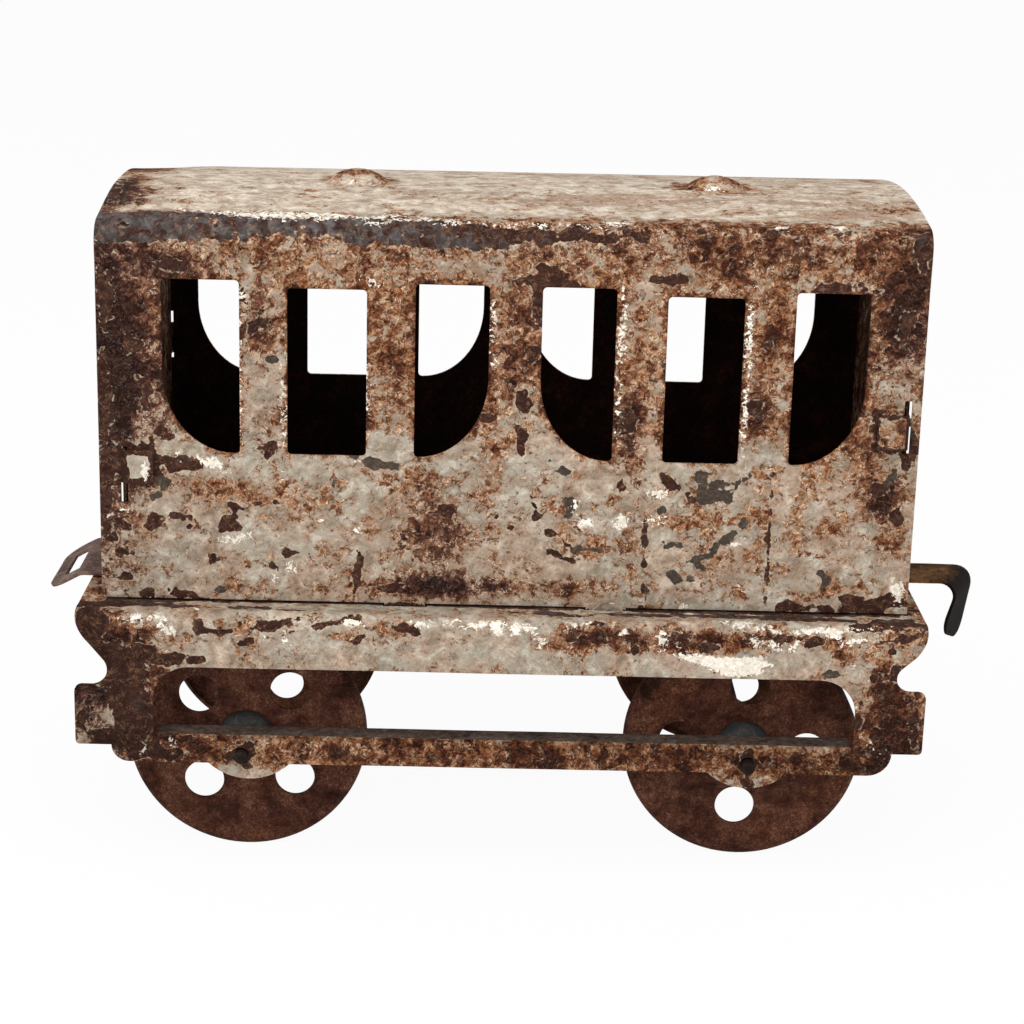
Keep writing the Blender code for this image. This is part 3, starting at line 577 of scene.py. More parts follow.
# wear seen on the front wall, measured from the wall's middle and up from the ground
shellWear = {
    "dark": [    # flaked patches where dark oxide shows
        (-47.6, 61.2, 2.6, 1.2, -10), (-49.8, 62.5, 1.2, 0.5, -15), (-49, 53.3, 1.7, 0.8, 12), (-52.4, 52.4, 1.2, 1.2),
        (-56.9, 51.6, 1, 1.2), (-58.2, 49.7, 0.7, 0.5), (-57.2, 47, 1.7, 0.7, 14), (-57.2, 43.7, 1.2, 0.8, -10),
        (-43.2, 46.6, 0.8, 0.7), (-41.4, 52.2, 1.9, 1, 12), (-46.9, 51.7, 0.6, 0.5), (-32.3, 48, 1.1, 0.8, -10),
        (-34.6, 45.9, 0.7, 1.1, 20), (-21.9, 46.3, 0.5, 3, -8), (-53, 41, 1.4, 0.8), (-47.2, 41.1, 2.6, 0.8, -8),
        (-38, 55.2, 2.6, 0.5, 3), (-59, 58, 1.2, 7), (-59.2, 70, 1.2, 7), (-58.6, 86, 1, 5), (-53, 72, 0.8, 2, 8),
        (-54.8, 79, 1.2, 1.4), (-48.5, 90.8, 2.4, 1, -6), (-36.6, 82.4, 1.3, 1.3, 20), (-38.7, 86.3, 0.9, 0.9),
        (-35.1, 64, 1.4, 1.2), (-50.9, 65.8, 1.3, 1), (-8.9, 55, 1.8, 0.9, -4), (-15, 50, 0.5, 1.3),
        (-17, 42.6, 1.4, 0.8), (0, 53, 1.2, 0.35, -38), (4.7, 54.6, 0.9, 0.6), (3.6, 56.4, 0.35, 1.6, 28),
        (7.6, 51.2, 1.9, 0.5, -40), (8.2, 48.3, 1.4, 0.6, -20), (1.9, 71.6, 1.5, 1.8), (-3.3, 69.1, 1.2, 0.7, -12),
        (1.8, 66.4, 0.9, 1.7, 10), (2.8, 79, 0.8, 1.4), (16.6, 59.3, 0.5, 0.8), (17.4, 69.5, 0.9, 1.6),
        (38.8, 52, 0.35, 6), (20.4, 47, 0.25, 5.5), (35.4, 71.7, 1.6, 1.2), (37.2, 81, 0.7, 0.7),
        (46.4, 89.3, 4.4, 0.9), (57, 84.5, 1.4, 2), (58.8, 95, 1.4, 2.6), (54.5, 41.8, 5.4, 1.6),
        (42.2, 41.2, 2.3, 0.9, 4), (48, 41.1, 1.5, 0.8), (54.6, 59.6, 1.2, 0.9, -30), (57.4, 56, 0.8, 1.6),
        (23.6, 60, 2.2, 0.6, -36), (26.5, 58.2, 2.2, 0.5, -30), (58.9, 66, 1.2, 2.6), (22.2, 90.2, 2.4, 1),
        (5.5, 89.8, 4.5, 1.6), (3.9, 86, 1.2, 2.4), (-54, 96.3, 6.5, 1.1), (-59, 112, 0.9, 6), (-57.1, 56.8, 0.55, 1.7),
    ],
    "chips": [    # small grey chips
        (-50.7, 58.2, 1.4, 0.8, -28), (-51.7, 56.4, 1.2, 0.6, 28), (-19.2, 62, 2.6, 0.9, -8), (-25.7, 58.6, 0.5, 0.6),
        (9.2, 55.9, 0.8, 1.7, -12), (10.8, 54.4, 1.3, 0.5, -10), (7.5, 56, 0.5, 0.5), (8, 61.5, 1.1, 0.3),
        (6.1, 63.1, 0.4, 0.4), (28.6, 48.6, 1.7, 0.9, 20), (31, 50.2, 1.9, 0.6, 22), (33.3, 52.2, 1.5, 0.7, 48),
        (34.6, 54, 0.9, 0.5, 40), (28.9, 58, 1.1, 1.7, -20), (31.7, 58.2, 1.1, 0.9, 30), (33.2, 59.5, 2.2, 0.6, 34),
        (30.6, 59.9, 1.3, 0.5), (28.3, 61.1, 1, 0.6), (22.6, 55.7, 1.1, 0.8, -10), (24, 50.4, 1.3, 0.5),
        (25, 45.6, 1, 0.8, -30), (27.4, 45.2, 1.5, 0.5, -10), (28.2, 46.9, 1.6, 0.35, -8), (47.3, 45.7, 0.8, 1.3, 10),
        (56.2, 61.7, 0.9, 1.4, -20), (12.5, 49.4, 1.8, 0.4, -12), (-34.6, 77.1, 0.9, 0.5), (48, 68, 1, 0.8),
        (21.2, 43, 0.4, 1.2), (-42, 42.2, 2.2, 0.3, 10),
    ],
    "white": [    # bright specks and pale margins
        (-43.5, 61.5, 2.1, 0.7, -27), (-48.4, 62.6, 0.7, 0.25, -35), (-40.2, 49.9, 2, 0.45, 8),
        (-38.7, 50.4, 0.6, 0.4, 30), (-31.7, 45.6, 0.6, 0.8, 15), (-34.4, 44, 0.6, 0.5), (-22.3, 51.7, 0.6, 0.4),
        (-27.5, 53.2, 0.35, 0.2), (-21.7, 62.1, 0.6, 0.35, -20), (-20.6, 88.9, 1.2, 0.4, -18), (16.7, 53.8, 1.1, 1.1),
        (11.7, 53.6, 1.5, 0.8, -10), (9.8, 56.2, 0.5, 0.9), (58.3, 43.9, 0.9, 1.7, -8), (57.6, 45.6, 0.7, 0.5),
        (21.8, 54.2, 1.3, 0.5), (33.8, 50.9, 1.1, 0.3, 24), (26.4, 40.95, 0.8, 0.4), (-57.6, 53.4, 0.9, 0.25, 20),
        (16, 41, 0.6, 0.3), (22, 58.3, 1.2, 0.7), (-51.9, 40.8, 1, 0.25, 12), (35, 44, 0.4, 0.3), (15.9, 82, 0.55, 4.5),
        (15.8, 71, 0.3, 4), (34.3, 82, 0.5, 5), (34.2, 70, 0.35, 5), (-2.7, 83.5, 0.35, 2.5), (-2.4, 77.5, 0.4, 0.8),
        (-21, 72, 0.3, 4), (-39.1, 86.4, 0.8, 0.7, -20), (-39.4, 74, 0.3, 5), (-33, 70, 0.3, 5),
    ],
    "rust": [    # enamel lost in specks: soft clouds on the level of rust
        (-58, 60, 2.6, 9, 0.5), (-57.5, 72, 3.6, 8, 0.5), (-57, 86, 3.2, 8, 0.45), (-53.4, 75.5, 2.6, 5, 0.5),
        (-48.5, 90.6, 4.4, 2, 0.5), (-36.4, 82, 2.6, 3, 0.45), (-11.5, 52, 3.6, 6, 0.55), (-12, 43.5, 5.5, 1.9, 0.75),
        (-18, 42.8, 3.2, 1.4, 0.5), (0, 43, 13, 1, 0.45), (35.2, 71.7, 3.2, 2.6, 0.5), (37.2, 81, 1.8, 2, 0.35),
        (17.2, 69.5, 2, 4, 0.55), (2.8, 79, 1.6, 3, 0.3), (56.2, 84.5, 3.6, 5, 0.6), (59, 93, 2.2, 5, 0.5),
        (55.4, 57.8, 3, 3.4, 0.6), (45, 53, 13, 8, 0.22), (28, 52, 7, 8, 0.18), (52, 64, 7, 6, 0.22),
        (8, 52, 6, 6, 0.16), (-36, 57, 12, 3, 0.16), (-28, 49, 10, 6, 0.08), (49, 43.6, 9, 1.2, 0.3),
        (-60, 68, 7, 60, 0.6), (-56, 78, 5, 14, 0.25), (-43.5, 58, 5, 1.8, 0.34), (-37, 56.6, 5, 1.6, 0.34),
        (-28, 56, 5, 3.5, 0.16), (-40, 42.8, 3.5, 1.4, 0.32), (-25, 42.6, 6, 1.3, 0.26), (-10.5, 52, 5.6, 7.5, 0.44),
        (-2.7, 57, 1.7, 5.5, 0.44), (-14.5, 58, 2.2, 3, 0.16), (-6, 43.6, 14, 1.7, 0.44), (10, 43.4, 9, 1.4, 0.36),
        (-1.7, 64.5, 2, 1.5, 0.4), (0.6, 78, 3.4, 12, 0.34), (17, 66, 2.6, 9, 0.42), (18, 50.5, 1.6, 2.5, 0.22),
        (17.6, 46.8, 2.6, 1, 0.36), (12.6, 48.8, 2.2, 1, 0.36), (7.4, 51, 1.8, 2.2, 0.24), (25.2, 53.8, 2.8, 1.4, 0.4),
        (33.2, 47, 3.2, 2, 0.24), (42.5, 53, 2.6, 3, 0.26), (44.6, 61.2, 2.6, 1.2, 0.28), (53.4, 63, 3.2, 5, 0.4),
        (54.8, 58, 3.2, 3, 0.42), (57.2, 53, 2.4, 3, 0.34), (48.8, 57.7, 1.4, 0.6, 0.3), (48.4, 53.8, 1.8, 0.9, 0.22),
        (30, 43.2, 9, 0.9, 0.26), (47, 43, 9, 0.9, 0.24), (-17.4, 80, 2.8, 5, 0.4), (-18, 90, 7, 4, 0.24),
        (-36, 92, 12, 3.2, 0.18), (-8, 93.8, 6, 1.2, 0.22), (3, 93.2, 2.6, 1.2, 0.4), (10, 90.6, 8, 2.4, 0.24),
        (22, 93.4, 7, 1.6, 0.24), (31, 92, 6, 3.2, 0.38), (45, 94, 10, 2.5, 0.34), (56, 88, 6, 10, 0.48),
        (37, 72, 3.6, 4, 0.26), (37.5, 83, 2.4, 4, 0.26), (37.2, 88, 3.6, 3, 0.22), (26.8, 57.8, 3, 2, 0.12),
        (-52.5, 92, 3, 3, 0.18), (-34.5, 64.5, 2.4, 2, 0.2), (0, 97.3, 70, 2.6, 0.42), (-36, 70.5, 2.8, 6, -0.4),
        (-33.6, 78, 1.8, 5, -0.25), (-17.4, 68, 2.4, 4, -0.2), (-53.2, 70, 2, 7, -0.25), (-55.5, 90, 2.4, 3, -0.22),
        (0.6, 71, 2.4, 4, -0.2), (-4.5, 91, 4, 1.6, -0.25), (53.5, 78, 2.4, 3, -0.3), (57.5, 75, 2, 3, -0.2),
        (9, 66, 3, 2, -0.15),
    ],
    "maroon": [    # rust of a purplish tone
        (-60, 75, 9, 26, 0.9), (-52, 66, 5, 10, 0.5), (-38, 84, 5, 5, 0.6), (-10, 52, 7, 8, 0.6), (0, 80, 5, 14, 0.3),
        (60, 80, 6, 20, 0.3), (0, 43, 12, 2.5, 0.5), (-60, 108, 7, 12, 0.9), (-49, 91, 6, 3, 0.6),
        (20, 96, 50, 2.5, 0.3), (18, 68, 3, 6, 0.5), (36, 72, 4, 4, 0.5), (-60, 46, 4, 10, 0.5), (-10, 44, 8, 3, 0.6),
        (57, 84, 5, 8, 0.5), (55, 58, 4, 4, 0.4),
    ],
    "dirt": [    # dirt that darkens everything under it
        (-50, 49, 16, 6, 0.16), (-56, 45, 6, 4, 0.25), (0, 41.2, 62, 1.6, 0.25), (-35, 72, 4, 9, 0.3),
        (-17, 74, 3, 8, 0.14), (57, 62, 5, 18, 0.25), (37, 76, 3, 9, 0.16), (0, 98, 64, 2.6, 0.12),
        (55, 86, 6, 8, 0.16), (30, 93, 20, 3, 0.12), (-58, 70, 4, 24, 0.16), (-16, 53, 5, 6, 0.15),
        (-10, 54, 5, 5, 0.15), (-11, 43.6, 5, 1.8, 0.2), (59.5, 96, 2, 3, 0.4), (17, 69.5, 2.4, 4, 0.15),
    ],
    "stain": [    # brown stain on enamel that still holds
        (-43.5, 58.5, 7, 3, 0.7), (-37, 57, 6.5, 2.6, 0.7), (-27, 53.5, 6, 3.5, 0.45), (-20.3, 52, 3, 7, 0.5),
        (-40, 43, 4.5, 2, 0.6), (-50, 43.5, 2.5, 2, 0.4), (-8, 52, 9, 10, 0.55), (-1, 62, 3.6, 4, 0.6),
        (11, 61.6, 3, 1.6, 0.5), (16.8, 50.8, 2.4, 2.6, 0.5), (25.5, 53.8, 4.4, 2.4, 0.7), (33, 47.2, 4, 2.8, 0.7),
        (35.6, 57.4, 1.9, 2.2, 0.8), (43, 46.6, 2.6, 1.7, 0.55), (43.5, 53, 4, 4, 0.35), (49, 53.8, 2.6, 1.4, 0.6),
        (53, 60, 6, 8, 0.5), (0, 91, 70, 5.5, 0.5), (-0.2, 77, 4.5, 13, 0.6), (-17.6, 78, 4.2, 12, 0.45),
        (37, 76, 4.6, 13, 0.5), (18.6, 72, 3.6, 13, 0.5), (-52, 78, 4, 14, 0.6), (54.5, 80, 5, 14, 0.4),
        (0, 42.5, 62, 1.4, 0.4),
    ],
}

roofWear = {
    "rust": [    # enamel lost in specks: soft clouds on the level of rust
        (-59, 109, 5.2, 9, 1.3), (-58, 120, 3, 9, 0.4), (50, 109, 12, 8, 0.14), (-24, 123, 7, 7, 0.24),
        (31, 123, 7, 7, 0.24), (12, 112, 16, 4, 0.08), (57, 112, 4, 14, 0.16), (40, 106, 14, 3, 0.14),
        (-14, 106, 9, 2, 0.1),
    ],
    "stain": [    # brown stain on enamel that still holds
        (-54, 112, 9, 14, 0.5), (-24, 122, 10, 6, 0.5), (31, 122, 10, 6, 0.5), (15, 113, 22, 4, 0.55),
        (48, 110, 14, 9, 0.65), (20, 108, 30, 5, 0.5), (8, 112, 16, 4, 0.3), (50, 104, 12, 3, 0.5),
    ],
    "white": [    # bright specks and pale margins
        (-34.5, 101, 3.6, 0.7, 2), (-29.6, 101, 2.4, 0.7), (-26.4, 100.6, 1.7, 0.8, -10), (-40.5, 101.2, 2, 0.5, -8),
        (-22.5, 100, 1, 0.6, 20), (-48, 102.2, 1.6, 0.5), (-17.5, 100.8, 1.8, 0.7, -10), (-12.6, 99.6, 1.6, 0.7),
        (-8.8, 99, 1.2, 0.7, -20), (14.4, 99.2, 1.4, 0.7, 10), (22.5, 102, 1.2, 0.4), (38.4, 98.8, 0.9, 0.6),
        (47, 99.2, 1.3, 0.5), (-20, 98, 1, 0.5),
    ],
}


def shellFlats(sizes):
    # lengths along the sheet from the ridge: end of the crown, end of the corner, and height of the corner's end
    side = sizes["halfWidth"] - sizes["cornerRadius"]
    lean = math.asin(side / (sizes["crownRadius"] - sizes["cornerRadius"]))
    crownZ = sizes["roofTop"] - sizes["crownRadius"]
    cornerZ = crownZ + math.sqrt((sizes["crownRadius"] - sizes["cornerRadius"]) ** 2 - side ** 2)
    crownEnd = sizes["crownRadius"] * lean
    return crownEnd, crownEnd + sizes["cornerRadius"] * (quarterTurn - lean), cornerZ, lean


def shellFold(flat, sizes):
    crownEnd, cornerEnd, cornerZ, lean = shellFlats(sizes)
    crownRadius, cornerRadius, tabBend = sizes["crownRadius"], sizes["cornerRadius"], sizes["tabBend"]
    x, s = flat.T
    ridge = cornerZ + cornerEnd
    u = np.abs(s - ridge)
    crown = np.minimum(u, crownEnd) / crownRadius
    y = crownRadius * np.sin(crown)
    z = sizes["roofTop"] - crownRadius * (1 - np.cos(crown))
    bend = lean + np.clip(u - crownEnd, 0, cornerEnd - crownEnd) / cornerRadius
    corner = u > crownEnd
    y[corner] = (sizes["halfWidth"] - cornerRadius + cornerRadius * np.sin(bend))[corner]
    z[corner] = (cornerZ + cornerRadius * np.cos(bend))[corner]
    wall = u > cornerEnd
    wallZ = cornerZ - (u - cornerEnd)
    z[wall] = wallZ[wall]
    down = np.maximum(sizes["tabBendTop"] - wallZ, 0)
    tab = wall & (down > 0)
    turn = np.minimum(down / tabBend, quarterTurn)
    rest = np.maximum(down - tabBend * quarterTurn, 0)
    y[tab] = (sizes["halfWidth"] - tabBend * (1 - np.cos(turn)) - rest)[tab]
    z[tab] = (sizes["tabBendTop"] - tabBend * np.sin(turn))[tab]
    return np.column_stack([x, np.where(s < ridge, -y, y), z])


def windowOutline(i, sizes):
    middle = sizes["windowShift"] + (i - 2.5) * sizes["windowPitch"]
    isDoor = i % 3 == 1
    half = sizes["doorHalf"] if isDoor else sizes["windowHalf"]
    top, r, sill = sizes["doorHead"] if isDoor else sizes["head"], sizes["windowCorner"], sizes["sill"]
    corners = arc((half - r, top - r), r, 0, 90, 3) + arc((-half + r, top - r), r, 90, 180, 3)
    if isDoor:
        corners += arc((-half + r, sill + r), r, 180, 270, 3)
    else:
        turns = [math.radians(90 * k / 18) for k in range(19)]
        corners += [(-half + sizes["sweepWidth"] * (1 - math.cos(t)), sill + sizes["sweepHeight"] * (1 - math.sin(t)))
                    for t in turns]
    corners += arc((half - r, sill + r), r, 270, 360, 3)
    if i % 3 == 2:
        corners = mirrored(corners)
    return [(a + middle + (sizes["wider"][i] if a > half - 1 else 0), b) for a, b in corners]


def roofSag(x, u, sizes):
    # how far the roof has sunk, most at the left end's corners
    sunk = sizes["sagLeft"] * (sizes["half"] - x) / (2 * sizes["half"])
    dented = smoothStep(-x, sizes["half"] - 14, sizes["half"]) ** 1.6
    return sunk + sizes["cornerDent"] * dented * smoothStep(u, 6, 24)


def shellBlank(sizes):
    # the flat sheet with its windows, slots and foot tabs, from the front foot over the roof to the back foot
    crownEnd, cornerEnd, cornerZ, _ = shellFlats(sizes)
    ridge, half, foot = cornerZ + cornerEnd, sizes["half"], sizes["foot"]
    tabLength = foot - sizes["tabBendTop"] + sizes["tabBend"] * (quarterTurn - 1) + sizes["halfWidth"] - sizes["tabEnd"]
    frontEdge = [(-half, foot)]
    for x in (-sizes["tabAt"], sizes["tabAt"]):
        low, high = x - sizes["tabHalf"], x + sizes["tabHalf"]
        frontEdge += [(low, foot), (low, foot - tabLength), (high, foot - tabLength), (high, foot)]
    frontEdge += [(half, foot)]
    front = [windowOutline(i, sizes) for i in range(6)]
    back = [mirrored(loop) for loop in front]
    for x, onFront, corners in sizes["slots"]:
        (front if onFront else back).append([(x + across, up) for across, up in corners])
    holes = front + [foldedOver(loop, ridge) for loop in back]

    # the grid is finer in front, and finer still round the corner
    rows = [*np.arange(foot + 0.7, cornerZ - 0.2, 0.75), *np.arange(cornerZ, ridge - crownEnd, 0.45)]
    backRows = [*np.arange(foot + 0.9, cornerZ - 0.2, 1.1), *np.arange(cornerZ, ridge - crownEnd, 0.55)]
    coarse = np.arange(-half + 0.4, half, 1.1)
    grid = rowsOf(np.arange(-half + 0.3, half, 0.75), rows)
    grid += rowsOf(coarse, np.arange(ridge - crownEnd + 0.4, ridge + crownEnd, 1.0))
    grid += rowsOf(coarse, [2 * ridge - s for s in backRows])
    extra = []
    for x in sizes["doorLines"]:
        rises = np.arange(foot + 0.5, sizes["sill"] - 1.0, 0.7)
        extra += [(x + d, s) for d in (-0.45, -0.15, 0.15, 0.45) for s in rises]
    for x in sizes["domeAt"]:
        for r in (0.0, 1.1, 2.2, 3.2, 3.9, 4.4, 4.8, 5.3):
            count = max(1, int(2 * math.pi * r / 0.75))
            turns = [2 * math.pi * k / count for k in range(count)]
            extra += [(x + r * math.cos(turn), ridge + r * math.sin(turn)) for turn in turns]
    return *cutSheet(frontEdge + foldedOver(frontEdge, ridge), holes, grid, extra), holes


def makeShell(sizes, wear, roofMarks):
    crownEnd, cornerEnd, cornerZ, _ = shellFlats(sizes)
    ridge, foot = cornerZ + cornerEnd, sizes["foot"]
    flat, triangles, holes = shellBlank(sizes)
    places = shellFold(flat, sizes)
    x, s = flat.T
    u, isFront = np.abs(s - ridge), s < ridge
    h = np.where(isFront, s, 2 * ridge - s)      # height up the sheet on either side

    # pressed domes, and the ways in which the old sheet has sunk and buckled
    domeCurve = (sizes["domeRadius"] ** 2 + sizes["domeHeight"] ** 2) / (2 * sizes["domeHeight"])
    for dome in sizes["domeAt"]:
        r = np.hypot(x - dome, s - ridge)
        cap = np.sqrt(np.maximum(domeCurve ** 2 - r ** 2, 0)) - domeCurve + sizes["domeHeight"]
        places[:, 2] += np.where(r < sizes["domeRadius"] + 0.4, 0.5 * (cap + np.sqrt(cap ** 2 + 0.02)), 0)
        places[:, 2] = np.minimum(places[:, 2], sizes["roofTop"] + sizes["domeHeight"])
    onRoof = smoothStep(places[:, 2], sizes["head"] + 0.3, cornerZ + 1.0)
    places[:, 2] -= roofSag(x, u, sizes) * onRoof
    out = np.sign(places[:, 1])
    plain = smoothStep(cornerZ - h, 0, 6) * smoothStep(h, foot - 0.1, foot + 3)
    places[:, 1] -= out * plain * (sizes["sway"] + sizes["sway"] * waves(places, 21.0, 3.7))
    crownSway = (0.10 * waves(places, 15.0, 8.1) - 0.10) * smoothStep(crownEnd - u, 0, 5)
    places[:, 2] += np.where(u < crownEnd, crownSway, 0)
    for line in sizes["doorLines"]:
        along = smoothStep(h, foot + 0.2, foot + 2) * smoothStep(-h, -sizes["sill"] + 1.5, -sizes["sill"] + 4)
        places[:, 1] -= np.where(isFront, out, 0) * sizes["lineDepth"] * bell(x, line, 0.24) * along

    # wear fields; the far side wears in much the same way, turned round
    seenX = np.where(isFront, x, -x * 0.97 + 4.0)
    roof = smoothStep(h, cornerZ + 6.0, cornerZ + 8.2)

    # the dark band under the roof's edge, bluish at the left, and its pale upper rim, which is a painted highlight
    bandLow = cornerZ - 0.4 + 1.3 * bell(x, -31, 8) - 0.9 * bell(x, -6, 7)
    bandLow += 2.0 * smoothStep(x, 5, 40) + 0.9 * waves(np.column_stack([x, s, 0 * x]), 3.4, 2.9)
    bandHigh = cornerZ + 6.6 - 1.6 * smoothStep(x, -48, -36) - 1.3 * smoothStep(x, -20, -5)
    bandHigh += 1.1 * waves(np.column_stack([x, 0 * s, 0 * x]), 3.6, 6.2)
    band = np.minimum(h - bandLow, bandHigh - h) * 0.55 - 0.15 - 0.65 * smoothStep(seenX, -15, 20)
    roofEdgeHighlight = 0.10 + 0.65 * bell(seenX, -33, 11) - 0.5 * smoothStep(-seenX, 45, 52) - 0.6 * smoothStep(seenX, 0, 30)
    cool = smoothStep(h, cornerZ - 2.0, cornerZ - 0.6) * smoothStep(-h, -bandHigh - 0.8, -bandHigh)
    cool = cool * (1 - 0.75 * smoothStep(x, -22, 6))

    dark = np.maximum(patchField(seenX, h, wear["dark"]), np.clip(band, nowhere, 0.42))
    # painted shade: the tabs below the body's foot, in the gap over the chassis and in its slots, get the darkest mark
    dark = np.maximum(dark, np.where(h < foot - 0.02, 2.0, nowhere))    # the tabs in the slots are dark
    for left, right, low, high, strength in sizes["tabRims"]:
        aside, above = np.maximum(left - x, x - right), np.maximum(low - h, h - high)
        away = np.hypot(np.maximum(aside, 0), np.maximum(above, 0))
        dark = np.maximum(dark, np.where(isFront, strength - 0.7 * away, nowhere))
    white = np.maximum(patchField(seenX, h, wear["white"]), patchField(seenX, h, roofMarks["white"]))
    rust = cloudField(seenX, h, 0.13, wear["rust"]) * (1 - roof) + cloudField(x, h, 0.04, roofMarks["rust"]) * roof
    rust += (0.40 - 0.08 * smoothStep(h, 86, 90)) * (smoothStep(h, 64, 68) * (1 - roof))
    for dome in sizes["domeAt"]:
        r = np.hypot(x - dome, s - ridge)
        rust += 0.30 * bell(r, 5.0, 1.0) + 0.6 * bell(r, 2.6, 2.4) * smoothStep(s, ridge - 3.8, ridge - 1.8)
        # a painted highlight on the front of each dome, at its lower edge
        paintedShine = 0.5 - np.hypot(x - dome + 0.6, (s - ridge + 4.2) * 2.2) * 0.42
        white = np.maximum(white, np.where(s < ridge, paintedShine, nowhere))
    # the painted highlight along the roof's edge
    white = np.maximum(white, roofEdgeHighlight - np.abs(h - bandHigh + 0.3) * 0.6)
    sheetPlaces = np.column_stack([x, s])
    fromWindow = np.min([distanceFrom(sheetPlaces, loop) for loop in holes[:6]], axis=0)
    rust += 0.45 * bell(fromWindow, 0, 0.55)    # the cut edges rust first
    stain = cloudField(seenX, h, 0.12, wear["stain"]) * (1 - roof) + cloudField(x, h, 0.25, roofMarks["stain"]) * roof
    places[:, 0] += sizes["middle"]
    piece = newPiece("body_shell_sheet", places, triangles, {
        "roofShare": roof, "rustLevel": rust, "stainShare": np.clip(stain, 0, 1.3), "coolShare": np.clip(cool, 0, 1),
        "darkMark": dark, "chipMark": patchField(seenX, h, wear["chips"]), "whiteMark": white,
        "maroonShare": np.clip(cloudField(seenX, h, 0.15, wear["maroon"]), 0, 1),
        "dirtShare": np.clip(cloudField(seenX, h, 0.0, wear["dirt"]), 0, 1)})
    piece.data.materials.append(shellPaint)
    # the inner faces get the nearly black inside finish: painted shade
    piece.data.materials.append(insidePaintedShade)
    finishSheet(piece, sizes["sheet"], -1.0, 1, sizes["edge"])
    handOver(piece, "coach", "shell_paint", "body_shell")
    print("body shell:", len(piece.data.polygons), "faces")


makeShell(shellSizes, shellWear, roofWear)


# chassis: a pressed channel with its side frames

chassisSizes = {
    "middle": -2.77, "half": 63.2, "halfWidth": 32.9, "top": 40.2, "bend": 2.3, "barBottom": 17.0, "barTop": 21.2,
    "openingTop": 32.0, "openingCorner": 5.5, "shoulderRound": 6.5, "bufferCorner": 1.1, "bufferLowCorner": 0.6,
    "bossDrop": 2.4, "bossRadius": 8.7, "axles": (-38.1, 37.4), "axleZ": 18.2, "bore": 1.3, "flapBend": 0.8,
    "flapEnd": 28.4, "flapPlay": 0.3, "sheet": 0.5, "bodyShift": 0.7, "twist": (-0.2, 0.25), "edge": 0.11,
    "tabSlots": [    # across, along, half sizes
        (-15.0, -26.25, 3.3, 0.55), (-15.0, 26.25, 3.3, 0.55), (15.0, -26.25, 3.3, 0.55), (15.0, 26.25, 3.3, 0.55),
        (-56.4, 12.0, 0.55, 3.3), (58.05, 12.0, 0.55, 3.3)],
    "right": {"shoulder": 63.1, "buffer": 63.3, "neck": (60.9, 32.5), "bufferTop": 30.4, "bufferBottom": 20.5,
              "stepX": 55.3, "bossX": 37.4, "opening": 53.0},
    "left": {"shoulder": 62.5, "buffer": 62.7, "neck": (60.2, 31.4), "bufferTop": 29.0, "bufferBottom": 19.6,
             "stepX": 54.8, "bossX": 37.0, "opening": 51.2},
}

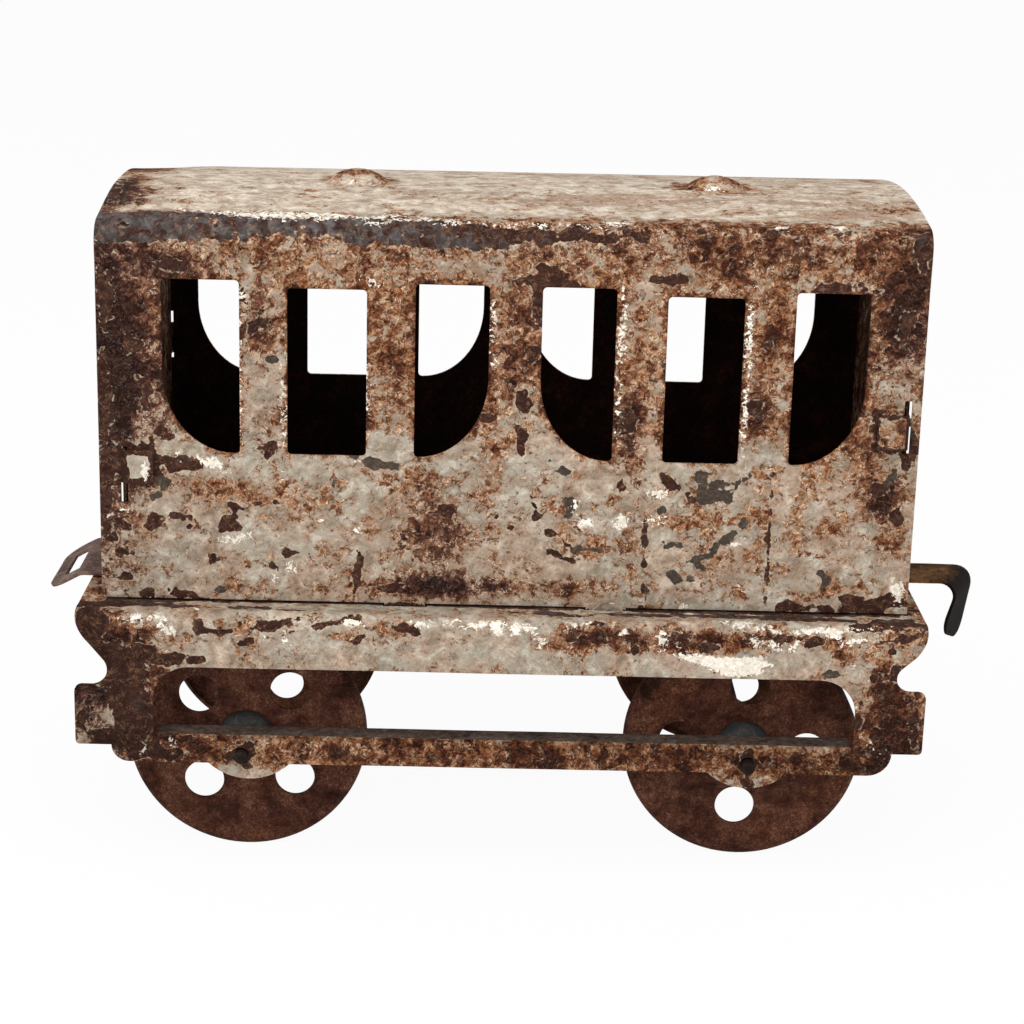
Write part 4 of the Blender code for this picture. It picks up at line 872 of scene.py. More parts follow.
chassisWear = {
    "dark": [    # flaked patches where dark oxide shows
        (-60.5, 36.5, 3.6, 4.2), (-57.5, 32.5, 3.6, 4), (-55, 27.5, 3.6, 5.5), (-53, 23.5, 3, 3),
        (-52, 33.8, 3, 1.6, -8), (-46.5, 33.2, 2.6, 1, 6), (-61.8, 24, 0.9, 1.6), (-57, 20.6, 4, 1.6),
        (-51.5, 18.6, 4.5, 1.6), (-58, 43.4, 5.5, 1.9), (-50, 43.4, 4, 1.2), (-36, 42.8, 4.6, 0.9, -6),
        (-33, 38.9, 4.6, 0.8, 4), (-26.5, 38.9, 2, 0.5, 8), (-44, 38.2, 1, 0.9, 30), (-41.5, 37.8, 1.6, 0.5),
        (-20.8, 37, 1.4, 0.7, 20), (-37, 36.3, 1, 0.6), (-13.5, 38.6, 1.4, 0.7), (-23, 39.6, 3.5, 0.7),
        (10.5, 38.2, 1, 0.9, 30), (14.6, 40.2, 1.4, 0.6), (19.5, 36.6, 0.9, 0.6, -30), (26, 38, 1.6, 0.8),
        (30.5, 36.8, 1.8, 0.7), (7, 43.2, 6, 1.1), (23, 43.5, 7, 1.1), (35, 43.8, 5, 1), (45, 43.4, 9, 1.2),
        (58, 41.8, 5, 2.2), (59.5, 38.8, 2.6, 0.7, 15), (58, 36.6, 0.6, 0.6), (56, 32.5, 0.9, 0.9),
        (58.6, 33.2, 0.9, 1.2), (61.8, 26, 0.8, 3), (53.6, 26, 0.5, 2), (57, 20.6, 1.6, 0.6), (37.6, 15.9, 0.6, 1.8),
        (-37.6, 16.6, 0.5, 0.8), (-38, 18.7, 1.9, 1.5), (37.4, 18.9, 1.7, 1.4), (46, 38, 1.2, 0.9),
        (41.5, 38.4, 1.8, 0.7), (37.2, 38.6, 1, 0.7), (34.6, 32.55, 3.4, 0.3),
    ],
    "chips": [    # small grey chips
        (-37.5, 42.6, 3, 0.6, -4), (36.5, 32.6, 1.6, 0.5, 4), (49, 33, 1.2, 0.6), (34.4, 43.2, 2.4, 0.5, -8),
    ],
    "white": [    # bright specks and pale margins
        (-54.2, 39.4, 1.2, 0.6, 8), (-50.9, 39.6, 1.2, 0.4), (-49.6, 38.8, 0.5, 1), (-48.6, 37.6, 1.1, 0.7, -10),
        (-34.8, 37, 0.5, 0.4), (-31.5, 36.6, 0.5, 0.9, -8), (-45.2, 41.9, 0.5, 0.35), (-21.6, 39.4, 1.6, 0.8),
        (-12, 39.6, 1.6, 0.5), (-7.5, 39.9, 1, 0.4), (-3, 39.6, 2.4, 0.6, 4), (-0.6, 39.2, 1.3, 1.1),
        (2.2, 38.9, 1.1, 1, -20), (4.2, 39, 1.6, 0.6, -30), (6.4, 37.1, 1.3, 0.5, -10), (11.5, 40, 2, 0.5),
        (18, 39, 0.7, 0.7), (23.7, 38, 0.8, 1.3), (25.2, 36.4, 1, 0.4), (35, 40.9, 3, 0.7, -6), (39, 40, 1.8, 0.6, -14),
        (40.2, 37.4, 1.8, 0.5, -18), (43.4, 37.4, 1.1, 0.5, 38), (45.4, 39.7, 2.8, 0.7, 8), (49, 39.5, 1.6, 0.9),
        (37.2, 37.8, 1.2, 0.3, -50), (52, 40.1, 2.6, 0.35, 4), (52, 38.2, 1.4, 0.6, 10), (52.8, 34.1, 0.8, 0.25, 8),
        (-48.2, 19.9, 0.35, 0.8, 8), (-52.6, 18.7, 0.4, 0.5), (55.6, 21.8, 0.9, 0.25, -50), (-41.8, 21, 0.4, 0.25),
    ],
    "cream": [    # where the pale undercoat shows
        (30.6, 34.9, 1.6, 0.2, -8), (35.4, 33.8, 3.3, 0.8), (34.6, 34.6, 2.6, 0.5),
    ],
    "dirt": [    # dirt that darkens everything under it
        (-60, 30, 7.5, 13, 0.7), (-42, 37.5, 14, 3, 0.1), (-53, 19, 9, 3.5, 0.6), (0, 18.6, 64, 3, 0.18),
        (35, 18.6, 26, 3, 0.45), (60, 26, 7, 8, 0.45), (22, 38.2, 14, 2, 0.2), (-36, 18, 20, 3, 0.2),
        (0, 21.2, 66, 0.8, 0.7), (-38, 34, 18, 3, 0.14), (0, 43.6, 64, 1.6, 0.2), (52, 17.5, 8, 3, 0.3),
        (-60, 40, 5, 4, 0.2),
    ],
    "rust": [    # enamel lost in specks: soft clouds on the level of rust
        (-60, 30, 6, 14, 0.45), (-53, 37.4, 4, 1.6, 0.36), (-41, 38, 4, 1.6, 0.34), (-37.5, 36.3, 2, 0.9, 0.3),
        (-33, 39, 6, 1, 0.3), (-21, 37.2, 3, 1.8, 0.34), (-14, 38.2, 3.5, 1.6, 0.34), (-6.4, 37.6, 2.2, 1.8, 0.36),
        (5.8, 37.2, 2.8, 1.6, 0.4), (13, 38.2, 5, 2, 0.9), (18.5, 37.4, 4, 1.8, 0.8), (27, 37.8, 6.5, 2, 1),
        (34, 37.4, 4, 1.4, 0.8), (42, 38.2, 6, 1.2, 0.7), (50, 37, 3, 2.6, 0.38), (54, 36, 4, 2.5, 0.24),
        (56, 24, 8, 9, 0.24), (52, 30, 2.5, 6, 0.3), (60, 40, 4, 4, 0.4), (0, 19, 66, 4, 1), (-57, 30, 7.5, 8, 1.3),
        (58, 25, 5, 8, 1.1), (57, 32, 3, 3, 0.3), (-57.6, 24.6, 2.2, 1.8, -1.3), (-61.4, 20.4, 1.4, 1.2, -0.9),
        (-39, 15.4, 5, 1.2, -0.9), (40.2, 16.2, 1.4, 0.8, -0.35), (54.5, 29, 2.2, 2.6, -0.5), (-48, 18.4, 5, 3, 0.6),
        (16, 34, 20, 1.6, -0.45), (46, 34.4, 6, 1.4, -0.3), (-46, 18, 10, 3, 0.2), (44, 18, 14, 3, 0.25),
        (0, 43.6, 40, 1.2, 0.14), (-62, 24, 1.5, 5, 0.2),
    ],
    "stain": [    # brown stain on enamel that still holds
        (-53, 37.2, 4.5, 2, 0.6), (-41, 37.6, 4.6, 2.4, 0.45), (-14, 37.8, 4.6, 2.4, 0.45), (6, 37.2, 3.6, 2.2, 0.45),
        (20, 38, 14, 2.4, 0.55), (-40, 33.4, 16, 0.8, 0.3), (0, 19.2, 66, 2.4, 0.9), (56, 26, 7, 9, 0.3),
        (-58, 27, 4, 5, 0.3), (0, 32.8, 30, 0.7, 0.25),
    ],
    "maroon": [    # rust of a purplish tone
        (-58, 28, 9, 12, 0.9), (58, 24, 7, 8, 0.3), (-30, 42, 14, 2, 0.4), (28, 43, 16, 2, 0.3), (20, 38.4, 13, 2, 0.4),
    ],
}


def frameHalf(end, sizes):
    # one end of a side frame, from the platform down to the bar with its bearing boss
    buffer, upper, lower, neck = end["buffer"], end["bufferTop"], end["bufferBottom"], end["neck"]
    c, d, bar = sizes["bufferCorner"], sizes["bufferLowCorner"], sizes["barBottom"]
    edge = arc((end["shoulder"] - sizes["shoulderRound"], sizes["top"]), sizes["shoulderRound"], 0, -45, 12)
    edge += arc(neck, neck[1] - upper, 135, 270, 14)
    edge += arc((buffer - c, upper - c), c, 90, 0, 5)
    edge += arc((buffer - d, lower + d), d, 0, -90, 3)
    edge += arc((end["stepX"], lower), lower - bar, 0, -90, 8)
    bossZ = bar - sizes["bossDrop"] + sizes["bossRadius"]
    spread = math.degrees(math.acos((bossZ - bar) / sizes["bossRadius"]))
    return edge + arc((end["bossX"], bossZ), sizes["bossRadius"], spread - 90, -spread - 90, 14)


def makeChassis(sizes, wear):
    bend, top, wide, half = sizes["bend"], sizes["top"], sizes["halfWidth"], sizes["half"]
    bendLow = top - bend
    arcLength = bend * math.pi / 2
    bendHigh = bendLow + arcLength
    centre = bendHigh + wide - bend

    def upSheet(z):
        return z if z <= bendLow else bendLow + bend * math.asin(min(1.0, (z - bendLow) / bend))

    # the blank: both frames with their openings, the flaps cut free on three sides, bores and slots
    frontPath = frameHalf(sizes["right"], sizes) + mirrored(frameHalf(sizes["left"], sizes))
    frontPath = [(x, upSheet(z)) for x, z in frontPath]
    outline = (frontPath + foldedOver(frontPath, centre))[::-1]
    flapBend, corner = sizes["flapBend"], sizes["openingCorner"]
    flapLength = flapBend * math.pi / 2 + wide - flapBend - sizes["flapEnd"]
    flapFoot = sizes["barTop"] - flapBend
    flapTip = flapFoot + flapLength
    rightX, leftX = sizes["right"]["opening"], -sizes["left"]["opening"]
    flapLeft, flapRight = leftX + sizes["flapPlay"], rightX - sizes["flapPlay"]
    opening = [(rightX, flapFoot)] + arc((rightX - corner, sizes["openingTop"] - corner), corner, 0, 90, 14)
    opening += arc((leftX + corner, sizes["openingTop"] - corner), corner, 90, 180, 14) + [(leftX, flapFoot)]
    opening += [(flapLeft, flapFoot), (flapLeft, flapTip), (flapRight, flapTip), (flapRight, flapFoot)]
    holes = [opening] + [arc((x, sizes["axleZ"]), sizes["bore"], 0, 360, 24)[:-1] for x in sizes["axles"]]
    holes += [foldedOver(loop, centre) for loop in holes]
    for across, along, halfLong, halfHigh in sizes["tabSlots"]:
        holes.append(slotAt((sizes["bodyShift"] + across, centre + along), halfLong, halfHigh))

    # the grid is finest where the front is bent and painted
    rows = [*np.arange(14.9, bendLow - 0.2, 0.75), *np.arange(bendLow, bendHigh + 0.1, 0.45),
            *np.arange(bendHigh + 0.7, centre - 26.8, 0.8)]
    backRows = [*np.arange(15.0, bendLow - 0.2, 1.1), *np.arange(bendLow, bendHigh + 0.1, 0.6)]
    grid = rowsOf(np.arange(-half + 0.3, half, 0.75), rows)
    grid += rowsOf(np.arange(-half + 0.6, half, 1.6), np.arange(centre - 25.6, centre + 30.0, 1.6))
    grid += rowsOf(np.arange(-half + 0.4, half, 1.1), [2 * centre - s for s in backRows])
    extra = [(x, flapFoot + d) for x in np.arange(flapLeft + 0.6, flapRight, 0.8) for d in (0.4, 0.84, 1.26)]
    extra += [(x, 2 * centre - s) for x, s in extra]
    flat, triangles = cutSheet(outline, holes, grid, extra)

    # folded: the frames down from the platform, the flaps in from the frames
    x, s = flat.T
    front = s < centre
    u = np.abs(s - centre)
    h = centre - u
    down = np.clip(u - (wide - bend), 0, arcLength) / bend
    y = np.minimum(u, wide - bend) + bend * np.sin(down)
    z = top - bend * (1 - np.cos(down)) - np.maximum(u - (wide - bend) - arcLength, 0)
    folded = (h > flapFoot) & (h < flapTip + 0.2) & (x > flapLeft - 0.15) & (x < flapRight + 0.15)
    turn = np.minimum((h - flapFoot) / flapBend, quarterTurn)
    inward = np.maximum(h - flapFoot - flapBend * math.pi / 2, 0)
    y = np.where(folded, wide - flapBend * (1 - np.cos(turn)) - inward, y)
    z = np.where(folded, flapFoot + flapBend * np.sin(turn), z)
    places = np.column_stack([x, np.where(front, -y, y), z])

    # the front frame has been bent: out at the left end, in at the right
    share = (x + half) / (2 * half)
    lean = sizes["twist"][0] * (1 - share) + sizes["twist"][1] * share
    lean = lean * np.clip((bendLow - z) / (bendLow - 17), 0, 1)
    places[:, 1] += np.where(front, lean, -0.25 * lean)
    places[:, 1] += 0.14 * waves(places, 17.0, 5.5) * np.clip((bendLow - z) / 6, 0, 1)
    sunk = np.where(u < wide - bend, 0.07 + 0.07 * waves(places, 19.0, 2.2), 0)
    places[:, 2] -= sunk * smoothStep(wide - bend - u, 0, 3)

    # wear fields
    seenX = np.where(front, x, 3.0 - x)
    onFlap = folded & (inward > 0)
    outside = np.abs(x - sizes["bodyShift"]) > 59.6    # beyond the body's ends
    underBody = ~outside & (smoothStep(h, bendHigh + 3.9, bendHigh + 4.6) > 0.5)
    dark = np.where(onFlap, nowhere, patchField(seenX, h, wear["dark"]))
    # painted shade: the platform inside the body gets the darkest mark
    dark = np.maximum(dark, np.where(underBody, 2.0, nowhere))
    white = np.where(onFlap | underBody, nowhere, patchField(seenX, h, wear["white"]))
    cream = 1.3 + 3.0 * patchField(x, h, wear["cream"])
    white = np.maximum(white, np.where(front & ~onFlap, cream, nowhere))
    rust = np.where(outside & (h > bendLow), 0.75, cloudField(seenX, h, 0.16, wear["rust"]))
    places[:, 0] += sizes["middle"]
    piece = newPiece("chassis_pressing", places, triangles, {
        "roofShare": np.zeros(len(x)), "rustLevel": np.clip(rust, 0, 1.3),
        "stainShare": np.clip(cloudField(seenX, h, 0.12, wear["stain"]), 0, 1.2),
        "coolShare": smoothStep(h, bendHigh + 0.6, bendHigh + 1.2) * 0.55,
        "darkMark": np.clip(dark, nowhere, 2), "whiteMark": white,
        "chipMark": np.where(onFlap, nowhere, patchField(seenX, h, wear["chips"])),
        "maroonShare": np.clip(cloudField(x, h, 0.1, wear["maroon"]), 0, 1),
        "dirtShare": np.clip(cloudField(seenX, h, 0.0, wear["dirt"]), 0, 1)})
    for material in (chassisPaint, underRust, ledgeDust):
        piece.data.materials.append(material)
    ledge = onFlap[triangles].all(axis=1)
    piece.data.polygons.foreach_set("material_index", np.where(ledge, 2, 0).astype(np.int32))
    finishSheet(piece, sizes["sheet"], -1.0, 1, sizes["edge"])
    handOver(piece, "coach", "chassis_paint", "chassis")
    print("chassis:", len(piece.data.polygons), "faces")


makeChassis(chassisSizes, chassisWear)


# end walls: the CAD's plates with worn edges and the same finish

endWallSizes = {
    "edge": 0.12, "tabFrom": 26.4, "tabFace": 26.6, "cuts": 9, "settled": 0.05,
    "tabs": {"left": (58.3, 63.3), "right": (65.9, 71.0)}, "rimStrength": {"left": 0.95, "right": 0.25},
}


def endWallWear(end, places, sizes):
    # the front tabs have dark rims; what shows of the plate in the slots is made dark as painted shade
    count, (x, y, z) = len(places), places.T
    onTab = np.abs(y) > sizes["tabFrom"]
    frontTab = onTab & (y < 0)
    low, high = sizes["tabs"][end]
    reach = np.abs(x - shellSizes["middle"])
    free, fold = reach[frontTab].min(), reach[frontTab].max()
    rim = np.min([reach - free, fold - 0.3 - reach, z - low, high - z], axis=0)
    dark = np.where(frontTab, sizes["rimStrength"][end] - 1.25 * rim, nowhere)
    inSlot = (frontTab & (reach > fold - 0.55)) | ((y < -25) & ~onTab)
    # a painted highlight on the left front tab, near its free edge
    paintedShine = 0.85 - 1.3 * np.abs(reach - free - 1.2) - 0.45 * np.abs(z - low - 2.0)
    smooth = frontTab & (end == "left")
    return {"roofShare": np.zeros(count), "rustLevel": np.where(smooth, -0.5, np.where(onTab, 0.8, 0.95)),
            "stainShare": np.where(smooth, 0.0, 0.5), "coolShare": np.zeros(count),
            "darkMark": np.maximum(dark, np.where(inSlot, 2.0, nowhere)), "chipMark": np.full(count, nowhere),
            "whiteMark": np.where(smooth, paintedShine, nowhere), "maroonShare": np.full(count, 0.3),
            "dirtShare": np.where(onTab, 0.0, 0.15)}


def makeEndWall(end, sizes):
    piece = intoScene(f"end_wall_{end}_plate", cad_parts[f"end_wall_{end}"].data.copy())
    work = bmesh.new()
    work.from_mesh(piece.data)
    bmesh.ops.remove_doubles(work, verts=work.verts, dist=1e-6)
    bmesh.ops.dissolve_limit(work, angle_limit=math.radians(1), verts=work.verts, edges=work.edges)
    bmesh.ops.triangulate(work, faces=[f for f in work.faces if len(f.verts) > 4])
    # the flats of the tabs get a finer mesh, which their dark rims need
    tabFlats = [face for face in work.faces
                if face.calc_center_median().y < -sizes["tabFace"] * mm and abs(face.normal.y) > 0.9]
    edges = list({edge for face in tabFlats for edge in face.edges})
    bmesh.ops.subdivide_edges(work, edges=edges, cuts=sizes["cuts"], use_grid_fill=True)
    work.to_mesh(piece.data)
    work.free()
    piece.data.materials.clear()
    piece.data.materials.append(endPaint)
    for polygon in piece.data.polygons:
        polygon.material_index = 0
    softenEdges(piece, sizes["edge"])
    settle(piece)
    shadeSmooth(piece)
    # the wall's top goes down with the sunken roof
    places = cornersOf(piece)
    share = smoothStep(places[:, 2], shellSizes["head"], shellSizes["head"] + 4)
    sag = roofSag(places[:, 0] - shellSizes["middle"], np.abs(places[:, 1]), shellSizes)
    places[:, 2] -= share * (sag + sizes["settled"])
    moveCorners(piece, places)
    addFields(piece.data, endWallWear(end, places, sizes))
    handOver(piece, "coach", "wall_paint", f"end_wall_{end}")


for end in ("left", "right"):
    makeEndWall(end, endWallSizes)
print("end walls made")


# drawbar: a strip with a slotted eye at one end and a hook at the other

drawbarSizes = {
    "across": -6.8, "height": 40.75, "sheet": 0.5, "hookHalf": 4.45, "hookCorner": 70.5, "hookBend": 2.6,
    "hookTip": (68.43, 30.6), "tipRadius": 3.0, "slant": 0.45, "tipSkew": 0.42, "eyeHalf": 9.05, "eyeShift": -0.6,
    "eyeWidening": (-59.77, -61.37),
    "eyeBendAt": -66.97, "eyeBend": 1.5, "eyeTip": (-72.0, 37.95), "eyeCorner": 3.4, "eyeSlot": (-69.77, -67.57),
    "eyeSlotHalf": 5.3, "eyeSlotShift": -1.2, "bendSteps": 10, "edge": 0.12,
}


def stripPath(sizes):
    # the middle of the strip seen from the side
    corners = [(sizes["eyeTip"], 0), ((sizes["eyeBendAt"], sizes["height"]), sizes["eyeBend"]),
               ((sizes["hookCorner"], sizes["height"]), sizes["hookBend"]), (sizes["hookTip"], 0)]
    points = [Vector(corners[0][0])]
    for i in (1, 2):
        here, radius = Vector(corners[i][0]), corners[i][1]
        before = (here - Vector(corners[i - 1][0])).normalized()
        after = (Vector(corners[i + 1][0]) - here).normalized()
        turn = before.angle_signed(after)
        start = here - before * radius * math.tan(abs(turn) / 2)
        for k in range(sizes["bendSteps"] + 1):
            half = -turn * k / sizes["bendSteps"] / 2
            heading = Vector((before.x * math.cos(half) - before.y * math.sin(half),
                              before.x * math.sin(half) + before.y * math.cos(half)))
            points.append(start + heading * 2 * radius * math.sin(abs(half)))
    return points + [Vector(corners[3][0])]


def makeDrawbar(sizes):
    path = stripPath(sizes)
    lengths = [0.0]
    for a, b in zip(path, path[1:]):
        lengths.append(lengths[-1] + (b - a).length)
    pathX, pathZ = [p.x for p in path], [p.y for p in path]
    total, rising = lengths[-1], 2 * sizes["bendSteps"]    # so many points go steadily to the right

    def along(x):    # length of the strip up to a place x between its two bends
        return float(np.interp(x, pathX[:rising], lengths[:rising]))

    narrow, c, r = sizes["hookHalf"], sizes["eyeCorner"], sizes["tipRadius"]
    near, far = sizes["eyeShift"] - sizes["eyeHalf"], sizes["eyeShift"] + sizes["eyeHalf"]
    narrowAt, wideAt = (along(x) for x in sizes["eyeWidening"])
    outline = arc((c, near + c), c, 180, 270, 8) + [(wideAt, near), (narrowAt, -narrow)]
    outline += arc((total - r, -narrow + r), r, 270, 360, 8) + arc((total - r, narrow - r), r, 0, 90, 8)
    outline += [(narrowAt, narrow), (wideAt, far)] + arc((c, far - c), c, 90, 180, 8)
    slotStart, slotEnd = (along(x) for x in sizes["eyeSlot"])
    low, high = sizes["eyeSlotShift"] - sizes["eyeSlotHalf"], sizes["eyeSlotShift"] + sizes["eyeSlotHalf"]
    slot = [(slotStart, low), (slotEnd, low), (slotEnd, high), (slotStart, high)]
    rows = np.arange(near + 0.6, far, 0.7)
    grid = [(s, t) for s in np.arange(0.4, 16, 0.55) for t in rows]
    grid += [(s, t) for s in np.arange(16, total - 24, 1.8) for t in rows[::2]]
    grid += [(s, t) for s in np.arange(total - 24, total, 0.5) for t in rows]
    flat, triangles = cutSheet(outline, [slot], grid, [])
    s, t = flat.T
    x, z = np.interp(s, lengths, pathX), np.interp(s, lengths, pathZ)
    x += sizes["slant"] * t * smoothStep(s, total - 22, total - 10)
    z -= sizes["tipSkew"] * t * smoothStep(s, total - 9, total)
    places = np.column_stack([x, t + sizes["across"], z])
    loose = np.maximum(smoothStep(-x, 62, 70), smoothStep(x, 60, 68))
    places[:, 1] += 0.12 * waves(places, 9.0, 6.6) * loose
    places[:, 2] += 0.16 * waves(places, 8.0, 1.2) * loose
    # the hook's leg is marked for darkening in the finish: painted shade
    piece = newPiece("drawbar_strip", places, triangles, {"legPaintedShade": smoothStep(s, total - 12.5, total - 9.0)})
    piece.data.materials.append(stripRustLegShade)
    piece.data.materials.append(eyeRust)
    atEye = (x[triangles] < sizes["eyeWidening"][0]).all(axis=1)
    piece.data.polygons.foreach_set("material_index", atEye.astype(np.int32))
    finishSheet(piece, sizes["sheet"], 0.0, 0, sizes["edge"])
    handOver(piece, "coach", "bare_strip", "drawbar")
    print("drawbar:", len(piece.data.polygons), "faces")


makeDrawbar(drawbarSizes)


# wheelsets: discs and cups pressed and punched by Geometry Nodes

wheelSizes = {
    "radius": 18.18, "height": 18.2, "bend": 1.4, "depth": 2.2, "bore": 1.3, "sheet": 0.5,
    "holeCircle": 9.8, "holeRadius": 3.0, "holes": 4, "face": 24.75, "axles": (-40.87, 34.63),
    "turns": {"left": (48.0, 10.0), "right": (-4.5, 30.0)}, "segments": 120, "rings": 44, "buckle": 0.16,
    "rim": (13.5, 18.2), "dentFrom": (12.0, 17.0),
    "dents": {"wheel_right_front": (27.0, 20.0, 0.75)},    # where round the rim and how wide, in degrees, and how deep
}
cupSizes = {
    "radius": 4.2, "bend": 1.8, "depth": 2.6, "bore": 1.3, "sheet": 0.5, "face": 27.65, "segments": 64, "rings": 20,
    "buckle": 0.10, "holeCircle": 30.0, "holeRadius": 0.2, "holes": 3,    # a cup has no holes: the punch goes past it
}
wireSizes = {"radius": 1.0, "half": 34.1, "sides": 24}


class Press(NodeDesk):
    # a Geometry Nodes tree that starts with named sizes and ends in Realize Instances and Set Material
    kinds = {"float": "Float", "int": "Int", "tuple": "Vector", "NoneType": "Material"}

    def __init__(self, name, sizes):
        super().__init__(bpy.data.node_groups.new(name, "GeometryNodeTree"))
        self.socket("Geometry", "INPUT", "NodeSocketGeometry")
        for label, value in sizes.items():
            socket = self.socket(label, "INPUT", "NodeSocket" + self.kinds[type(value).__name__])
            if value is not None:
                socket.default_value = value
        self.socket("Geometry", "OUTPUT", "NodeSocketGeometry")
        self.size = self.put("NodeGroupInput").outputs

    def socket(self, label, side, kind):
        return self.tree.interface.new_socket(label, in_out=side, socket_type=kind)

    def vector(self, x, y, z):
        return self.lay("ShaderNodeCombineXYZ", {0: x, 1: y, 2: z})

    def spot(self):
        return self.put("ShaderNodeSeparateXYZ", {0: self.lay("GeometryNodeInputPosition")}).outputs

    def moved(self, geometry, **moves):
        inputs = {key.capitalize(): move for key, move in moves.items()}
        return self.lay("GeometryNodeTransform", {0: geometry, **inputs})

    def close(self, geometry):
        solid = self.lay("GeometryNodeRealizeInstances", {0: geometry})
        dressed = self.lay("GeometryNodeSetMaterial", {0: solid, "Material": self.size["Material"]})
        self.put("NodeGroupOutput", {0: dressed})
        return self.tree


def pressedCupTree():
    # a flat round face, a rounded bend and a skirt, from the bore outwards, facing -Y
    press = Press("pressed cup", {"Radius": 0.018, "Bore": 0.0013, "Bend": 0.0014, "Depth": 0.0022, "Buckle": 0.0001,
                                  "Segments": 96, "Rings": 32, "Seed": 0.0, "Material": None})
    size, lay, calc = press.size, press.lay, press.calc
    times, plus, less, most, least = press.times, press.plus, press.less, press.most, press.least
    columns = plus(size["Segments"], 1.0)
    counts = {"Vertices X": columns, "Vertices Y": size["Rings"]}
    grid = lay("GeometryNodeMeshGrid", {"Size X": 1.0, "Size Y": 1.0, **counts})
    spot = press.spot()
    angle = times(plus(spot[0], 0.5), 2 * math.pi)
    flat = less(size["Radius"], size["Bend"], size["Bore"])
    curved = times(size["Bend"], quarterTurn)
    travel = times(plus(spot[1], 0.5), plus(flat, curved, less(size["Depth"], size["Bend"])))
    past = most(less(travel, flat), 0.0)
    turn = least(calc("DIVIDE", past, size["Bend"]), quarterTurn)
    radius = plus(size["Bore"], least(travel, flat), times(size["Bend"], calc("SINE", turn)))
    drop = plus(times(size["Bend"], less(1.0, calc("COSINE", turn))), most(less(past, curved), 0.0))
    place = press.vector(times(radius, calc("SINE", angle)), drop, times(radius, times(calc("COSINE", angle), -1.0)))
    shaped = lay("GeometryNodeSetPosition", {0: grid, "Position": place})
    merged = lay("GeometryNodeMergeByDistance", {0: shaped, "Distance": 1e-6})
    bumps = {"Vector": lay("GeometryNodeInputPosition"), "W": size["Seed"], "Scale": 95.0, "Detail": 1.0}
    push = times(less(lay("ShaderNodeTexNoise", bumps, noise_dimensions="4D"), 0.2), size["Buckle"])
    buckled = lay("GeometryNodeSetPosition", {0: merged, "Offset": press.vector(0.0, push, 0.0)})
    return press.close(lay("GeometryNodeFlipFaces", {0: buckled}))    # the grid was rolled up inside out


def punchedTree():
    # round holes punched through whatever is pressed, on a circle about the Y axis
    press = Press("punched holes", {"Hole Radius": 0.003, "Circle": 0.0098, "Count": 4, "Turn": 0.0, "Heading": 0.0,
                                    "Place": (0, 0, 0), "Material": None})
    size, lay = press.size, press.lay
    ring = lay("GeometryNodeMeshCircle", {"Vertices": size["Count"], "Radius": size["Circle"]})
    punch = lay("GeometryNodeMeshCylinder", {"Vertices": 36, "Radius": size["Hole Radius"], "Depth": 0.008})
    punches = lay("GeometryNodeInstanceOnPoints", {"Points": ring, "Instance": punch})
    loose = lay("GeometryNodeRealizeInstances", {0: punches})
    turned = press.moved(loose, rotation=press.vector(0.0, 0.0, press.less(size["Turn"], quarterTurn)))
    # the cut is made at a thousand times the size, where it comes out clean
    raised = press.moved(turned, rotation=(quarterTurn, 0.0, 0.0), scale=(1000, 1000, 1000))
    grown = press.moved(size[0], scale=(1000, 1000, 1000))
    cut = lay("GeometryNodeMeshBoolean", {"Mesh 1": grown, "Mesh 2": raised}, operation="DIFFERENCE")
    heading = press.vector(0.0, 0.0, size["Heading"])
    return press.close(press.moved(cut, rotation=heading, translation=size["Place"], scale=(0.001, 0.001, 0.001)))


def wireTree():
    # a drawn wire of round section along Y
    press = Press("drawn wire", {"Radius": 0.001, "Half Length": 0.034, "Sides": 24, "Place": (0, 0, 0),
                                 "Material": None})
    size, lay = press.size, press.lay
    ends = [press.vector(0.0, y, 0.0) for y in (press.times(size["Half Length"], -1.0), size["Half Length"])]
    line = lay("GeometryNodeCurvePrimitiveLine", {"Start": ends[0], "End": ends[1]})
    line = lay("GeometryNodeResampleCurve", {"Curve": line, "Count": 29})
    section = lay("GeometryNodeCurvePrimitiveCircle", {"Resolution": size["Sides"], "Radius": size["Radius"]})
    wire = lay("GeometryNodeCurveToMesh", {"Curve": line, "Profile Curve": section, "Fill Caps": True})
    return press.close(press.moved(wire, translation=size["Place"]))


def runTree(piece, tree, values):
    modifier = piece.modifiers.new(tree.name, "NODES")
    modifier.node_group = tree
    for item in tree.interface.items_tree:
        if item.item_type == "SOCKET" and item.in_out == "INPUT" and item.name in values:
            modifier[item.identifier] = values[item.name]


def finishTurned(piece, edge, segments, angle):
    softenEdges(piece, edge, segments, angle)
    settle(piece)
    # a closed solid whose volume comes out negative is turned the right way round
    work = bmesh.new()
    work.from_mesh(piece.data)
    bmesh.ops.remove_doubles(work, verts=work.verts, dist=1e-7)
    if work.calc_volume(signed=True) < 0:
        bmesh.ops.reverse_faces(work, faces=work.faces)
    work.to_mesh(piece.data)
    work.free()


cupTree, holeTree, axleTree = pressedCupTree(), punchedTree(), wireTree()


